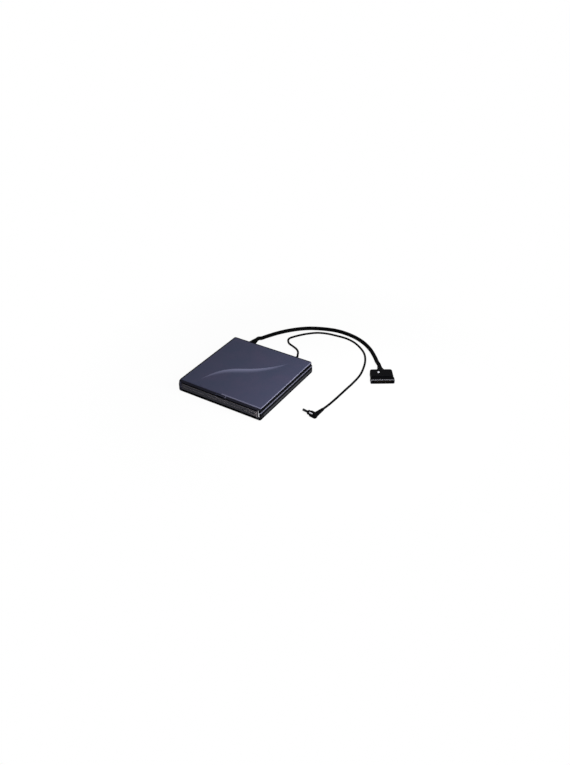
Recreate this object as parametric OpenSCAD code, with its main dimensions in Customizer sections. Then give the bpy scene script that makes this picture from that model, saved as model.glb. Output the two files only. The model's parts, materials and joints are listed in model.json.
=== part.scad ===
// External disc drive with a sliding tray, a fixed interface cable and a fixed power cable.
// Millimetres. X to the right, Y to the back, Z up. The tray comes out towards -Y.

/* [Case] */
// Height of the rubber feet
foot_h = 1; // [0.6:0.1:3]
// Diameter of a rubber foot
foot_d = 10; // [6:0.5:14]
// Thickness of the lower case's floor
floor_t = 1.8; // [1.6:0.1:3]
// Thickness of the cover's roof
roof_t = 2; // [1.2:0.1:3]
// Room between the drive and the shells at each side
side_room = 2.5; // [0.6:0.1:4]
// Room behind the drive for the interface board
rear_room = 8.7; // [8.2:0.1:16]
// Thickness of the tongue that rises inside the cover
tongue_t = 1.4; // [1:0.1:2]
// Thickness of the cover's skirt outside the tongue
skirt_t = 1.55; // [1.2:0.05:3]
// Height of the dark groove between the two shells
groove_h = 1.6; // [0.8:0.1:2.2]
// Height of the lower case's outer edge above the table
lower_h = 8.8; // [8.2:0.1:11]
// Depth of the sloped band along the front of the roof
front_bevel = 4; // [4:0.5:10]
// Width of the sloped band along the sides and the rear of the roof
side_bevel = 0.4; // [0.4:0.1:3]
// Width of the ledge below the sloped band
ledge_w = 0.8; // [0.8:0.1:1.7]
// Plan radius of the front corners
front_r = 2; // [1.5:0.5:4]
// Plan radius of the rear corners
rear_r = 3; // [2.5:0.5:10]
// How far the bottom edge tucks under
tuck = 1.2; // [1:0.1:4.2]
// Depth of the cover's front corner posts along the side
post_d = 8; // [5:0.5:14]
// Width of the finger notch in the front brow
notch_w = 15; // [8:1:30]
// Place of the finger notch from the centre
notch_x = 3.5; // [-30:0.5:20]
// Height of the wave on the roof
wave_h = 0.6; // [0.2:0.1:1.2]
// Width of the wave's soft flank
wave_w = 13; // [6:1:24]
// Diameter of a case screw
screw_d = 2.2; // [1.6:0.1:2.6]

/* [Drive] */
// Diameter of the disc
disc_d = 120; // [80:0.5:130]
// Room in the drive beside the disc, both sides together
drive_side = 8; // [7.4:0.1:16]
// Room in the drive before and behind the disc, together
pan_room = 4.8; // [4.4:0.1:16]
// Thickness of the steel sheet
sheet_t = 0.6; // [0.4:0.1:0.8]
// Room between the pan and the tray's skirt
under_room = 1.2; // [1.2:0.1:2]
// Height of the room for the mechanism under the disc well
mech_h = 4.7; // [4.6:0.1:6]
// Thickness of the disc well's floor
well_t = 1.2; // [1:0.1:1.6]
// Depth of the disc well
well_h = 3; // [2.4:0.1:4]
// Room between the tray and the drive's lid
lid_room = 1.4; // [1.3:0.1:2.5]
// Room between the lid and the roof
roof_room = 1.5; // [1.3:0.1:3]
// How far the tray slides out
tray_travel = 126; // [80:1:127]

/* [Tray front] */
// Thickness of the tray's front
bezel_t = 2.4; // [2.2:0.1:4]
// How far the front sits back behind the brow
bezel_set = 0.5; // [0.3:0.1:1.5]
// Depth of the shaded band along the top of the front
band_in = 0.8; // [0.4:0.1:1.1]
// Height of the line across the front
line_z = 9.6; // [6:0.1:11]
// Width of the eject button
button_w = 10; // [6:0.2:11]
// Height of the eject button
button_h = 4.4; // [3:0.1:5]
// Travel of the eject button
button_travel = 0.5; // [0.3:0.05:0.6]
// Width of the lamp window
lamp_w = 3; // [1.6:0.1:4]
// Diameter of the emergency release hole
pinhole_d = 1.3; // [0.9:0.1:2]

/* [Mechanism] */
// Diameter of the turntable
table_d = 28.8; // [26:0.2:29]
// Diameter of the disc hub
hub_d = 14.7; // [13:0.1:14.8]
// Diameter of a guide rod
rod_d = 2; // [1.6:0.1:2.2]
// Lens distance from the spindle with the sled parked
lens_in = 24; // [23.6:0.1:25]
// Distance of the outermost track from the disc's edge
track_edge = 3; // [2:0.1:12]
// Width of a slide rail, top to bottom
rail_h = 2; // [1.4:0.1:2.4]
// Room in front of a slide rail in the pan
rail_room = 6; // [3:0.5:14]
// Clearance of sliding fits, each side
slide_gap = 0.15; // [0.1:0.01:0.2]

/* [Cables] */
// Diameter of the interface cable
data_d = 6; // [4:0.1:6.6]
// Diameter of the power cable
power_d = 3.2; // [2.4:0.1:4]
// Distance of the interface cable from the case's left side
data_in = 25.5; // [18:0.5:28]
// Distance of the power cable from the case's right side
power_in = 34.5; // [28:0.5:40]
// Height of both cables where they leave the case
exit_z = 9.5; // [9.2:0.1:9.6]
// Length of the interface cable's bend relief outside the case
data_boot = 20; // [12:0.5:22]
// Length of the power cable's bend relief outside the case
power_boot = 10; // [8:0.5:14]
// Width of the interface plug's body
plug_w = 32.5; // [30:0.5:44]
// Height of the interface plug's body
plug_h = 9; // [8.6:0.1:12]
// Depth of the interface plug's body
plug_d = 18; // [15:0.5:26]
// Outer diameter of the power plug's barrel
barrel_d = 3.5; // [3:0.1:4.6]
// Length of the power plug's barrel
barrel_l = 9; // [8:0.5:12]
// Height of the power plug's body
elbow_h = 7; // [6.6:0.1:10]

/* [Hidden] */
$fn = 48;
bite = 1;
arc_steps = 6;
corner_fit = 0.4;
fit = 0.05;
run_fit = 0.03;

// Levels
z_in = foot_h + floor_t;
pad_h = 0.3;
z_drive = z_in + pad_h;
z_pan = z_drive + sheet_t;
z_skirt = z_pan + under_room;
z_plate = z_skirt + mech_h;
z_well = z_plate + well_t;
z_tray = z_well + well_h;
z_lid = z_tray + lid_room;
z_lid_top = z_lid + sheet_t;
z_ceiling = z_lid_top + roof_room;
z_roof = z_ceiling + roof_t;
z_groove = lower_h + groove_h;
z_tongue = z_groove + 1.5;
z_skirt_top = z_tongue + 1.1;
z_ledge = z_skirt_top + 0.6;
z_brow = z_lid_top + 0.8;
z_lip = z_brow + 0.8;

// Widths
drive_w = disc_d + drive_side;
drive_x = drive_w / 2;
cav_x = drive_x + side_room;
tongue_x = cav_x + tongue_t;
shell_t = tongue_t + slide_gap + skirt_t;
case_x = cav_x + shell_t;
in_r = max(rear_r - shell_t, 0.8);
mouth_x = drive_x + corner_fit;
bezel_x = drive_x - 0.2;

// Depths
pan_d = disc_d + pan_room;
pan_in = 1.5;
case_d = bezel_set + bezel_t + pan_in + pan_d + rear_room + shell_t;
y_front = -case_d / 2;
y_rear = case_d / 2;
y_bezel = y_front + bezel_set;
y_tray = y_bezel + bezel_t;
y_pan = y_tray + pan_in;
y_pan_end = y_pan + pan_d;
y_cav = y_pan_end + rear_room;
brow_t = bezel_set + 1.8;
tray_back_room = 1.8;
y_tray_end = y_pan_end - sheet_t - tray_back_room;
disc_y = (y_tray + y_tray_end) / 2;

// Slide
guide_t = 1.4;
guide_cut = 1;
tray_gap = 0.5;
guide_x = drive_x - sheet_t - guide_t;
tray_x = guide_x - tray_gap;
tray_wall = 2.2;
rail_cut = 1;
rail_in = tray_x - rail_cut + slide_gap;
rail_out = guide_x + guide_cut - slide_gap;
z_rail = z_skirt + 2.6;
rail_y = y_pan + rail_room;
rail_back = 6.2;
rail_l = pan_d - sheet_t - rail_room - rail_back;

// Tray
well_r = disc_d / 2 + 0.8;
rim_t = 1.6;
deck_t = 1.4;
z_deck = z_tray - deck_t;
wall_t = 1.5;
window_w = 44;
spring_x = 13.5 - tray_x;

// Traverse, in its own frame: X out along the sled, Z up, on the spindle's axis
sled_turn = 225;
z_trav = z_skirt + 0.3;
trav_t = 0.8;
z_base = z_trav + trav_t;
z_rod = (z_base + z_plate) / 2;
z_seat = z_well + 1;
base_t = 0.8;
rotor_top = z_plate;
rotor_t = 0.6;
rotor_r = 11.3;
rotor_wall = 0.8;
shaft_r = 1;
sleeve_r = 2.6;
main_y = 14;
side_y = -13;
rod_r = rod_d / 2;
wall_gap = 0.7;
sled_travel = disc_d / 2 - track_edge - lens_in;
reach = (disc_y - y_tray - wall_t - wall_gap) * sqrt(2);
trav_tip = 11.5;
trav_side = 8.5;
trav_cut = 7;
trav_back = 12.5;
trav_low = 21;
trav_high = 21.8;
trav_neck = 16.5;
rod_from = 11.5;
rod_to = reach - trav_tip - 5.4;
holder_l = 2.4;
lens_half = 7;
sled_half = 8;
screw_y = 18.8;
screw_r = 1.1;
feed_pitch = 3;
mount_in = 8;
mount_y = 17.5;
mount_at = [[-mount_in, -mount_y], [-mount_in, mount_y], [reach - trav_tip - 3, 0]];
head_r = 1.7;
head_t = 0.6;
post_r = 2.2;
grommet_h = 1.2;
tap_r = 0.8;
ball_r = 1;

// Tray board
board_lo = [4, y_tray_end - 40.3];
board_hi = [tray_x - 9.5, y_tray_end - 6.3];
chips = [[12, 8, 12, 12], [30, 22, 10, 7], [27, 6, 7, 5]];
chip_t = 1.1;
z_board = z_base + 0.2;
board_t = 1;
post_in = 4;
board_posts = [[board_lo[0] + 2 * post_in, board_hi[1] - post_in],
    [board_hi[0] - post_in, board_lo[1] + post_in]];
ffc_x = board_lo[0] + 24;
ffc_w = 18;
ffc_t = 0.2;
ffc_fold = y_tray + 27.6;
ffc_end = board_lo[1] + 8;
ffc_socket = 4.5;
z_ffc_low = z_pan + 0.1;
z_ffc_high = z_skirt + 0.3;

// Latch
latch_at = [tray_x - 11.5, y_tray + 17.6];
latch_post_at = [tray_x - 5.5, y_tray + 21.1];
coil_lo = [tray_x - 24, y_tray + 2.6];
coil_hi = [tray_x - 17.5, y_tray + 8.6];
coil_z = z_skirt + 5.7;
latch_post_r = 1.2;
z_latch = z_skirt + 0.5;
latch_t = 1.2;
pivot_r = 1;

// Eject button and lamp
button_x = bezel_x - 7.4;
button_z = 9.6;
lamp_x = button_x - 11;
pinhole_x = lamp_x - 5;

// Rear bay
plug_in_t = 2.8;
socket_in = 1.4;
socket_out = 1.3;
socket_h = 3.6;
board_y = y_pan_end + socket_out + plug_in_t;
main_board_t = 1.2;
main_board = [11.9 - cav_x, cav_x - 14.9];
main_board_h = z_ceiling - z_in - 1.6;
boss_x = cav_x - 9;
boss_y = y_pan_end + 4;
boss_r = 2.8;
socket_w = 40;
socket_hi = main_board[1] - 2;
socket_lo = socket_hi - socket_w;
bridge_lo = [main_board[0] + 23, z_in + 2];
bridge_w = 10;
bridge_h = 8;
bridge_t = 1.2;
cap_at = [main_board[0] + 9, main_board[0] + 15, main_board[0] + 41];
cap_r = 2;
cap_h = 2.4;

// Screws under the case
drive_screw_x = drive_x - 14;
drive_screw_at = [for (x = [-drive_screw_x, drive_screw_x]) for (y = [y_pan + 26.1, y_pan_end - 28.7]) [x, y]];
lid_screw_at = [[-1, y_pan + 8], [1, y_pan + 8], [-1, y_pan_end - 8], [1, y_pan_end - 8]];
tab = 6;
foot_x = case_x - foot_d / 2 - 7;
foot_front = y_front + foot_d / 2 + 8;
foot_rear = y_rear - foot_d / 2 - 15.5;

// Wave on the roof, four control points
wave = [[-43.6, -53.2], [-29.5, 11.9], [4, -14.4], [42, 47.2]];
wave_steps = 28;

// Cables
data_x = data_in - case_x;
power_x = case_x - power_in;
data_r = data_d / 2;
power_r = power_d / 2;
data_neck = 3.9;
power_neck = 2.6;
data_tip = data_r + 0.45;
power_tip = power_r + 0.35;
data_root = data_r + 2.6;
power_root = power_r + 1.3;
plug_at = [data_x + 200.2, y_rear + 48.8];
plug_turn = 33;
plug_boot_l = 12;
elbow_at = [power_x + 91.4, y_rear - 93.6];
elbow_turn = -8;
elbow_boot_l = 15.5;
elbow_back = elbow_h / 2;
elbow_front = elbow_h / 2;
elbow_half = 6.25;
elbow_mid = -3.25;
elbow_flat = 8.5;
elbow_left = 11.5;

// Each route point: X from the cable's exit, Y from the rear wall, height of its underside above the table
data_lay = [[1.8, 33, 4.2], [3, 41.2, 2.6], [5.3, 51.8, 0.8], [9.3, 62.3, 0], [17.6, 75.4, 0],
    [28.9, 89.4, 0], [42, 101.5, 0], [55.1, 109.8, 0], [71.1, 116.7, 0], [88.3, 121.2, 0],
    [105.6, 121.3, 0], [123.7, 118, 0], [141.5, 110.5, 0], [158.5, 98.7, 0], [172.7, 84.4, 0.2],
    [183.9, 70.8, 0.9]];
power_lay = [[-3.1, 18.9, 7], [-5.7, 24.3, 6], [-10.5, 31.4, 4.4], [-17, 38, 2.8], [-27.3, 44.6, 1],
    [-37.4, 50, 0.1], [-44, 58.4, 0], [-44.3, 64.7, 0], [-41.2, 71.5, 0], [-34.9, 81.5, 0],
    [-26.4, 91.9, 0], [-14.8, 101.8, 0], [-0.5, 107.4, 0], [15.6, 109.5, 0], [31.1, 110.2, 0],
    [47.2, 106.3, 0], [62.4, 97.4, 0], [75.9, 85.2, 0], [85.6, 69.8, 0], [92.4, 52.1, 0],
    [97.7, 29.5, 0], [98.5, 6.8, 0], [97.4, -16.1, 0], [96.3, -38.6, 0], [95.2, -56, 0.2],
    [94.8, -64.5, 1]];

function place(p, at, turn) = [at[0] + p[0] * cos(turn) - p[1] * sin(turn),
    at[1] + p[0] * sin(turn) + p[1] * cos(turn)];
function lay_points(list, x, r) = [for (p = list) [x + p[0], y_rear + p[1], p[2] + r]];
plug_z = plug_h / 2;
elbow_z = elbow_h / 2;
plug_end = place([0, plug_boot_l], plug_at, plug_turn);
plug_lead = place([0, plug_boot_l + data_d], plug_at, plug_turn);
elbow_end = place([0, elbow_back + elbow_boot_l], elbow_at, elbow_turn);
elbow_lead = place([0, elbow_back + elbow_boot_l + power_d], elbow_at, elbow_turn);
data_route = concat([[data_x, y_rear + data_boot, exit_z], [data_x, y_rear + data_boot + data_d, exit_z]],
    lay_points(data_lay, data_x, data_r),
    [[plug_lead[0], plug_lead[1], plug_z], [plug_end[0], plug_end[1], plug_z]]);
power_route = concat([[power_x, y_rear + power_boot, exit_z], [power_x, y_rear + power_boot + power_d, exit_z]],
    lay_points(power_lay, power_x, power_r),
    [[elbow_lead[0], elbow_lead[1], elbow_z], [elbow_end[0], elbow_end[1], elbow_z]]);

// Helpers
function arc(cx, cy, r, a) = [for (i = [0:arc_steps])
    [cx + r * cos(a + 90 * i / arc_steps), cy + r * sin(a + 90 * i / arc_steps)]];
function plan(x, y0, y1, rf, rr) = concat(arc(x - rr, y1 - rr, rr, 0), arc(-x + rr, y1 - rr, rr, 90),
    arc(-x + rf, y0 + rf, rf, 180), arc(x - rf, y0 + rf, rf, 270));
function blend(a, b, t) = a + (b - a) * t;
function unit(v) = v / norm(v);
function bezier(c, t) = c[0] * pow(1 - t, 3) + 3 * c[1] * t * pow(1 - t, 2)
    + 3 * c[2] * t * t * (1 - t) + c[3] * pow(t, 3);
function pick(list, i) = list[max(0, min(len(list) - 1, i))];
function spline(a, b, c, d, t) = 0.5 * (2 * b + (c - a) * t + (2 * a - 5 * b + 4 * c - d) * t * t
    + (3 * b - a - 3 * c + d) * t * t * t);
function smooth_route(list) = concat([for (i = [0:len(list) - 2]) for (t = [0, 0.5])
    i == 0 || i == len(list) - 2 ? blend(list[i], list[i + 1], t)
        : spline(list[i - 1], list[i], list[i + 1], list[i + 2], t)], [list[len(list) - 1]]);
function heading(list, i) = unit(pick(list, i + 1) - pick(list, i - 1));

module slab(lo, hi) {
    translate(lo) cube(hi - lo);
}

module loft(rings) {
    n = len(rings[0]);
    m = len(rings);
    sides = [for (k = [0:m - 2]) for (i = [0:n - 1])
        let (a = k * n + i, b = k * n + (i + 1) % n) each [[a, a + n, b + n], [a, b + n, b]]];
    polyhedron([for (ring = rings) each ring], concat([[for (i = [0:n - 1]) i]], sides,
        [[for (i = [n - 1:-1:0]) (m - 1) * n + i]]));
}

module tube(list, r, sides) {
    loft([for (i = [0:len(list) - 1])
        let (t = heading(list, i), s = unit(cross(t, [0, 0, 1])), u = cross(s, t))
        [for (k = [0:sides - 1]) list[i] + r * (cos(360 * k / sides) * u + sin(360 * k / sides) * s)]]);
}

module level(rows) {
    loft([for (row = rows) [for (p = row[1]) [p[0], p[1], row[0]]]]);
}

module both() {
    children();
    mirror([1, 0, 0]) children();
}

module along_y(x, y, z) {
    translate([x, y, z]) rotate([-90, 0, 0]) children();
}

module on_traverse() {
    translate([0, disc_y, 0]) rotate([0, 0, sled_turn]) children();
}

module on_plug() {
    translate([plug_at[0], plug_at[1], 0]) rotate([0, 0, plug_turn]) children();
}

module on_elbow() {
    translate([elbow_at[0], elbow_at[1], 0]) rotate([0, 0, elbow_turn]) children();
}

module cavity(top) {
    linear_extrude(top) polygon(plan(cav_x, y_front + brow_t, y_cav, 1, in_r));
}

module cable_slots(up) {
    for (c = [[data_x, data_neck], [power_x, power_neck]]) {
        along_y(c[0], y_cav - bite, exit_z) cylinder(r = c[1] + fit, h = shell_t + 2 * bite);
        if (up) slab([c[0] - c[1] - fit, y_cav - bite, exit_z],
            [c[0] + c[1] + fit, y_rear + bite, z_tongue + bite]);
    }
}

// Shells
module bottom_case() {
    color("#202024") difference() {
        union() {
            difference() {
                union() {
                    level([
                        [foot_h, plan(case_x - tuck, y_front + 0.6, y_rear - tuck, 3, rear_r - 0.8)],
                        [foot_h + 0.6, plan(case_x - tuck * 0.35, y_front, y_rear - tuck * 0.35, front_r,
                            rear_r - 0.3)],
                        [foot_h + 2, plan(case_x - tuck * 0.06, y_front, y_rear - tuck * 0.06, front_r,
                            rear_r)],
                        [foot_h + 4, plan(case_x, y_front, y_rear, front_r, rear_r)],
                        [lower_h - 0.4, plan(case_x, y_front, y_rear, front_r, rear_r)],
                        [lower_h, plan(case_x - 0.4, y_front, y_rear - 0.4, front_r, rear_r)]]);
                    translate([0, 0, lower_h - bite]) linear_extrude(z_tongue - lower_h + bite)
                        polygon(plan(tongue_x, y_front + post_d + bite, y_cav + tongue_t, 1,
                            in_r + tongue_t));
                }
                translate([0, 0, z_in]) cavity(z_roof);
                slab([-mouth_x, y_front - bite, z_in], [mouth_x, y_front + post_d, z_roof]);
                both() slab([mouth_x - bite, y_front - bite, z_in], [case_x + bite, y_front + post_d, z_roof]);
            }
            for (p = drive_screw_at) translate([p[0], p[1], z_in - bite]) cylinder(r = 3.2, h = pad_h + bite);
            both() translate([boss_x, boss_y, z_in - bite]) cylinder(r = boss_r, h = z_groove - z_in + bite);
            for (s = [[main_board[0], -1], [main_board[1], 1]])
                slab([s[0] - 2 + s[1], board_y - 1.2, z_in - bite], [s[0] + 2 + s[1], board_y + 2.4, z_in + 8]);
        }
        slab([main_board[0] - fit, board_y - fit, z_in],
            [main_board[1] + fit, board_y + main_board_t + fit, z_roof]);
        for (p = drive_screw_at) {
            translate([p[0], p[1], 0]) cylinder(r = screw_d / 2 + 0.1, h = z_drive + bite);
            translate([p[0], p[1], 0]) cylinder(r = screw_d / 2 + 1.1, h = foot_h + 1);
        }
        both() translate([boss_x, boss_y, 0]) {
            cylinder(r = screw_d / 2 + 0.1, h = z_roof);
            cylinder(r = screw_d / 2 + 1.2, h = z_in + 1.6);
        }
        cable_slots(true);
    }
}

module brow_wave() {
    pts = [for (i = [0:wave_steps]) blend(0.02, 0.98, i / wave_steps)];
    loft([for (t = pts) let (p = bezier(wave, t), d = unit(bezier(wave, t + 0.01) - bezier(wave, t - 0.01)),
        n = [d[1], -d[0]], q = p + n * wave_w * pow(sin(180 * t), 0.7), up = wave_h * pow(sin(180 * t), 0.5))
        [[p[0], p[1], z_roof - 0.2], [p[0], p[1], z_roof + up], [q[0], q[1], z_roof - 0.2]]]);
}

module top_cover() {
    x2 = case_x - ledge_w;
    x4 = x2 - side_bevel;
    lip = (z_lip - z_ledge) / (z_roof - z_ledge);
    x3 = blend(x2, x4, lip);
    y2 = y_rear - ledge_w;
    y4 = y2 - side_bevel;
    color("#454658") difference() {
        union() {
            difference() {
                union() {
                    level([
                        [z_groove, plan(case_x, y_front, y_rear, front_r, rear_r)],
                        [z_skirt_top, plan(case_x, y_front, y_rear, front_r, rear_r)],
                        [z_ledge, plan(x2, y_front, y2, front_r - 0.5, rear_r - ledge_w)],
                        [z_lip, plan(x3, y_front, blend(y2, y4, lip), front_r - 0.7, rear_r - ledge_w - 1)],
                        [z_roof, plan(x4, y_front + front_bevel, y4, 2, rear_r - ledge_w - side_bevel)]]);
                    brow_wave();
                    intersection() {
                        translate([0, 0, z_in]) linear_extrude(z_skirt_top - z_in)
                            polygon(plan(case_x, y_front, y_rear, front_r, rear_r));
                        both() slab([mouth_x, y_front - bite, z_in],
                            [case_x + bite, y_front + post_d - 0.1, z_roof]);
                    }
                }
                translate([0, 0, z_groove - bite]) linear_extrude(z_tongue - z_groove + bite)
                    polygon(plan(tongue_x + slide_gap, y_front + post_d - 0.1, y_cav + tongue_t + slide_gap,
                        1, in_r + tongue_t));
                level([
                    [0, plan(cav_x, y_front + brow_t, y_cav, 1, in_r)],
                    [z_lid + 0.2, plan(cav_x, y_front + brow_t, y_cav, 1, in_r)],
                    [z_ceiling, plan(cav_x - 0.6, y_front + brow_t, y_cav - 0.6, 1, in_r)]]);
                slab([-mouth_x, y_front - bite, 0], [mouth_x, y_front + brow_t + bite, z_brow]);
            }
            both() translate([boss_x, boss_y, z_groove]) cylinder(r = boss_r, h = z_ceiling - z_groove + 0.4);
        }
        both() translate([boss_x, boss_y, 0]) cylinder(r = screw_d / 2 + fit, h = z_groove + 3.2);
        slab([notch_x - notch_w / 2, y_front - bite, z_brow - bite],
            [notch_x + notch_w / 2, y_front + brow_t - 0.7, z_roof + bite]);
        cable_slots(false);
    }
}

module rubber_feet() {
    color("#1c1c1c") both() for (y = [foot_front, foot_rear])
        translate([foot_x, y, 0]) cylinder(d = foot_d, h = foot_h);
}

module case_screws() {
    color("#3a3a3c") both() translate([boss_x, boss_y, 0]) difference() {
        union() {
            translate([0, 0, z_in + 0.2]) cylinder(r = screw_d / 2 + 1, h = 1.4);
            translate([0, 0, z_in + 1.5]) cylinder(r = screw_d / 2, h = z_groove + 2.8 - z_in - 1.5);
        }
        for (a = [0, 90]) translate([0, 0, z_in]) rotate([0, 0, a]) cube([0.5, 2, 1.4], center = true);
    }
}

module drive_screws() {
    color("#8d8f92") for (p = drive_screw_at) translate([p[0], p[1], 0]) difference() {
        union() {
            translate([0, 0, foot_h + 0.2]) cylinder(r = screw_d / 2 + 1, h = 0.8);
            translate([0, 0, foot_h + 0.9]) cylinder(r = screw_d / 2, h = z_pan - foot_h - 0.9);
        }
        for (a = [0, 90]) translate([0, 0, foot_h]) rotate([0, 0, a]) cube([0.5, 2, 0.9], center = true);
    }
}

// Drive
module drive_pan() {
    color("#a3a6a8") difference() {
        union() {
            slab([-drive_x, y_pan, z_drive], [drive_x, y_pan_end, z_pan]);
            both() slab([drive_x - sheet_t, y_pan, z_drive], [drive_x, y_pan_end, z_lid]);
            slab([-drive_x, y_pan_end - sheet_t, z_drive], [drive_x, y_pan_end, z_lid]);
            for (p = lid_screw_at) translate([p[0] * (drive_x - tab / 2), p[1], z_lid - sheet_t / 2])
                cube([tab, tab, sheet_t], center = true);
            along_y(spring_x, y_pan_end - 5, z_skirt + 4.4) cylinder(r = 0.9, h = 5 - sheet_t / 2);
        }
        for (p = drive_screw_at) translate([p[0], p[1], 0]) cylinder(r = screw_d / 2 + fit, h = z_pan + bite);
        for (p = lid_screw_at) translate([p[0] * (drive_x - tab / 2 - 1), p[1], z_pan + bite])
            cylinder(r = tap_r + fit, h = z_lid);
        slab([socket_lo - 0.2, y_pan_end - sheet_t - bite, z_pan],
            [socket_hi + 0.2, y_pan_end + bite, z_pan + socket_h + 0.4]);
    }
}

module drive_lid() {
    color("#a9acae") difference() {
        slab([-drive_x, y_pan, z_lid], [drive_x, y_pan_end, z_lid_top]);
        for (p = lid_screw_at) translate([p[0] * (drive_x - tab / 2 - 1), p[1], z_lid - bite])
            cylinder(r = tap_r + fit, h = sheet_t + 2 * bite);
    }
}

module lid_screws() {
    color("#707276") for (p = lid_screw_at) translate([p[0] * (drive_x - tab / 2 - 1), p[1], 0]) {
        translate([0, 0, z_lid_top]) cylinder(r = 1.6, h = 0.3);
        translate([0, 0, z_lid - sheet_t]) cylinder(r = tap_r, h = 2 * sheet_t + 0.1);
    }
}

module right_guide() {
    color("#d8d6cc") difference() {
        slab([guide_x, y_pan + 2, z_rail - 2.4], [guide_x + guide_t, y_pan_end - sheet_t, z_rail + 2.4]);
        slab([guide_x - bite, y_pan - bite, z_rail - rail_h / 2 - slide_gap],
            [guide_x + guide_cut, y_pan_end, z_rail + rail_h / 2 + slide_gap]);
    }
}

module left_guide() {
    mirror([1, 0, 0]) right_guide();
}

module latch_post() {
    color("#8d8f92") translate([latch_post_at[0], latch_post_at[1], z_pan]) cylinder(r = latch_post_r, h = 3.9);
}

spring_turns = 7;
spring_r = 1.35;
spring_wire = 0.25;
spring_from = y_tray_end - 11.7;
spring_to = y_pan_end - sheet_t;
function spring_at(s) = [spring_x + spring_r * cos(360 * spring_turns * s),
    blend(spring_from + spring_wire, spring_to - spring_wire, s),
    z_skirt + 4.4 + spring_r * sin(360 * spring_turns * s)];
module eject_spring() {
    steps = spring_turns * 10;
    list = [for (i = [0:steps]) spring_at(i / steps)];
    gaps = [for (i = [0:steps - 6]) for (j = [i + 6:min(steps, i + 14)]) norm(list[i] - list[j])];
    echo(least_spring_gap = min(gaps) - 2 * spring_wire);
    color("#9a9c9e") loft([for (i = [0:steps])
        let (t = heading(list, i), s = unit(cross(t, [0, 1, 0])), u = cross(s, t))
        [for (k = [0:5]) list[i] + spring_wire * (cos(60 * k) * u + sin(60 * k) * s)]]);
}

function fold_arc(cy, cz, r, a0, a1) = [for (i = [0:8]) [cy + r * cos(blend(a0, a1, i / 8)),
    cz + r * sin(blend(a0, a1, i / 8))]];
module ribbon_cable() {
    mid = (z_ffc_low + z_ffc_high + ffc_t) / 2;
    ro = (z_ffc_high + ffc_t - z_ffc_low) / 2;
    color("#cfd2d6") translate([ffc_x, 0, 0]) rotate([90, 0, 90]) linear_extrude(ffc_w)
        polygon(concat([[ffc_end, z_ffc_high + ffc_t]], fold_arc(ffc_fold, mid, ro, 90, 270),
            [[y_pan_end - socket_in, z_ffc_low], [y_pan_end - socket_in, z_ffc_low + ffc_t]],
            fold_arc(ffc_fold, mid, ro - ffc_t, 270, 90), [[ffc_end, z_ffc_high]]));
}

module drive_connector() {
    color("#26262a") slab([socket_lo, y_pan_end - socket_in, z_pan],
        [socket_hi, y_pan_end + socket_out, z_pan + socket_h]);
}

module board_connector() {
    color("#e2dcc8") slab([socket_lo, y_pan_end + socket_out, z_pan],
        [socket_hi, board_y, z_pan + socket_h + 0.6]);
}

module interface_board() {
    color("#20603c") slab([main_board[0], board_y, z_in],
        [main_board[1], board_y + main_board_t, z_in + main_board_h]);
}

module board_parts() {
    color("#1a1a1c") {
        slab([bridge_lo[0], board_y - bridge_t, bridge_lo[1]],
            [bridge_lo[0] + bridge_w, board_y, bridge_lo[1] + bridge_h]);
        for (x = cap_at) along_y(x, board_y - cap_h, z_in + main_board_h / 2) cylinder(r = cap_r, h = cap_h);
    }
}

module cable_leads() {
    color("#b8452f") {
        for (s = [[-1.6, -1.6], [1.6, -1.6], [-1.6, 1.6], [1.6, 1.6]])
            along_y(data_x + s[0], board_y + main_board_t, exit_z + s[1])
                cylinder(r = 0.7, h = y_cav - 1.3 - board_y - main_board_t);
        for (s = [-1, 1]) along_y(power_x + s, board_y + main_board_t, exit_z)
            cylinder(r = 0.6, h = y_cav - 1.3 - board_y - main_board_t);
    }
}

module bend_relief(x, neck, root, tip, len) {
    along_y(x, y_cav, exit_z) rotate_extrude() polygon([[0, -1.3], [neck + 0.9, -1.3], [neck + 0.9, 0],
        [neck, 0], [neck, shell_t], [root, shell_t], [root, shell_t + 2], [tip, shell_t + len],
        [0, shell_t + len]]);
}

module interface_boot() {
    color("#161617") bend_relief(data_x, data_neck, data_root, data_tip, data_boot);
}

module power_boot_case() {
    color("#161617") bend_relief(power_x, power_neck, power_root, power_tip, power_boot);
}

// Cables
module interface_cable() {
    color("#141415") tube(data_route, data_r, 10);
}

module power_cable() {
    color("#141415") tube(smooth_route(power_route), power_r, 8);
}

hood_wall = 1.4;
flange_w = plug_w + 2.5;
flange_h = plug_h - 2;
flange_d = 7.5;
module hood(low, high) {
    difference() {
        translate([0, 0, low]) linear_extrude(high - low) polygon(plan(plug_w / 2, -plug_d, 0, 0.5, 3.5));
        slab([-plug_w / 2 + hood_wall, -plug_d - bite, hood_wall],
            [plug_w / 2 - hood_wall, -hood_wall, plug_h - hood_wall]);
    }
}

module plug_hood_top() {
    color("#18181a") on_plug() difference() {
        union() {
            hood(plug_z, plug_h);
            for (s = [-1, 1]) translate([s * (plug_w / 2 - 5), -plug_d / 2, plug_z])
                cylinder(r = 2, h = plug_h - plug_z - hood_wall / 2);
        }
        for (s = [-1, 1]) translate([s * (plug_w / 2 - 5), -plug_d / 2, 0])
            cylinder(r = tap_r + fit, h = plug_z + 2.4);
    }
}

module plug_hood_bottom() {
    color("#18181a") on_plug() difference() {
        union() {
            hood(0, plug_z);
            for (s = [-1, 1]) translate([s * (plug_w / 2 - 5), -plug_d / 2, hood_wall / 2])
                cylinder(r = 2, h = plug_z - hood_wall / 2);
        }
        for (s = [-1, 1]) translate([s * (plug_w / 2 - 5), -plug_d / 2, -bite]) {
            cylinder(r = tap_r + fit, h = plug_z + 2 * bite);
            cylinder(r = 1.5, h = bite + 1.2);
        }
    }
}

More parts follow.
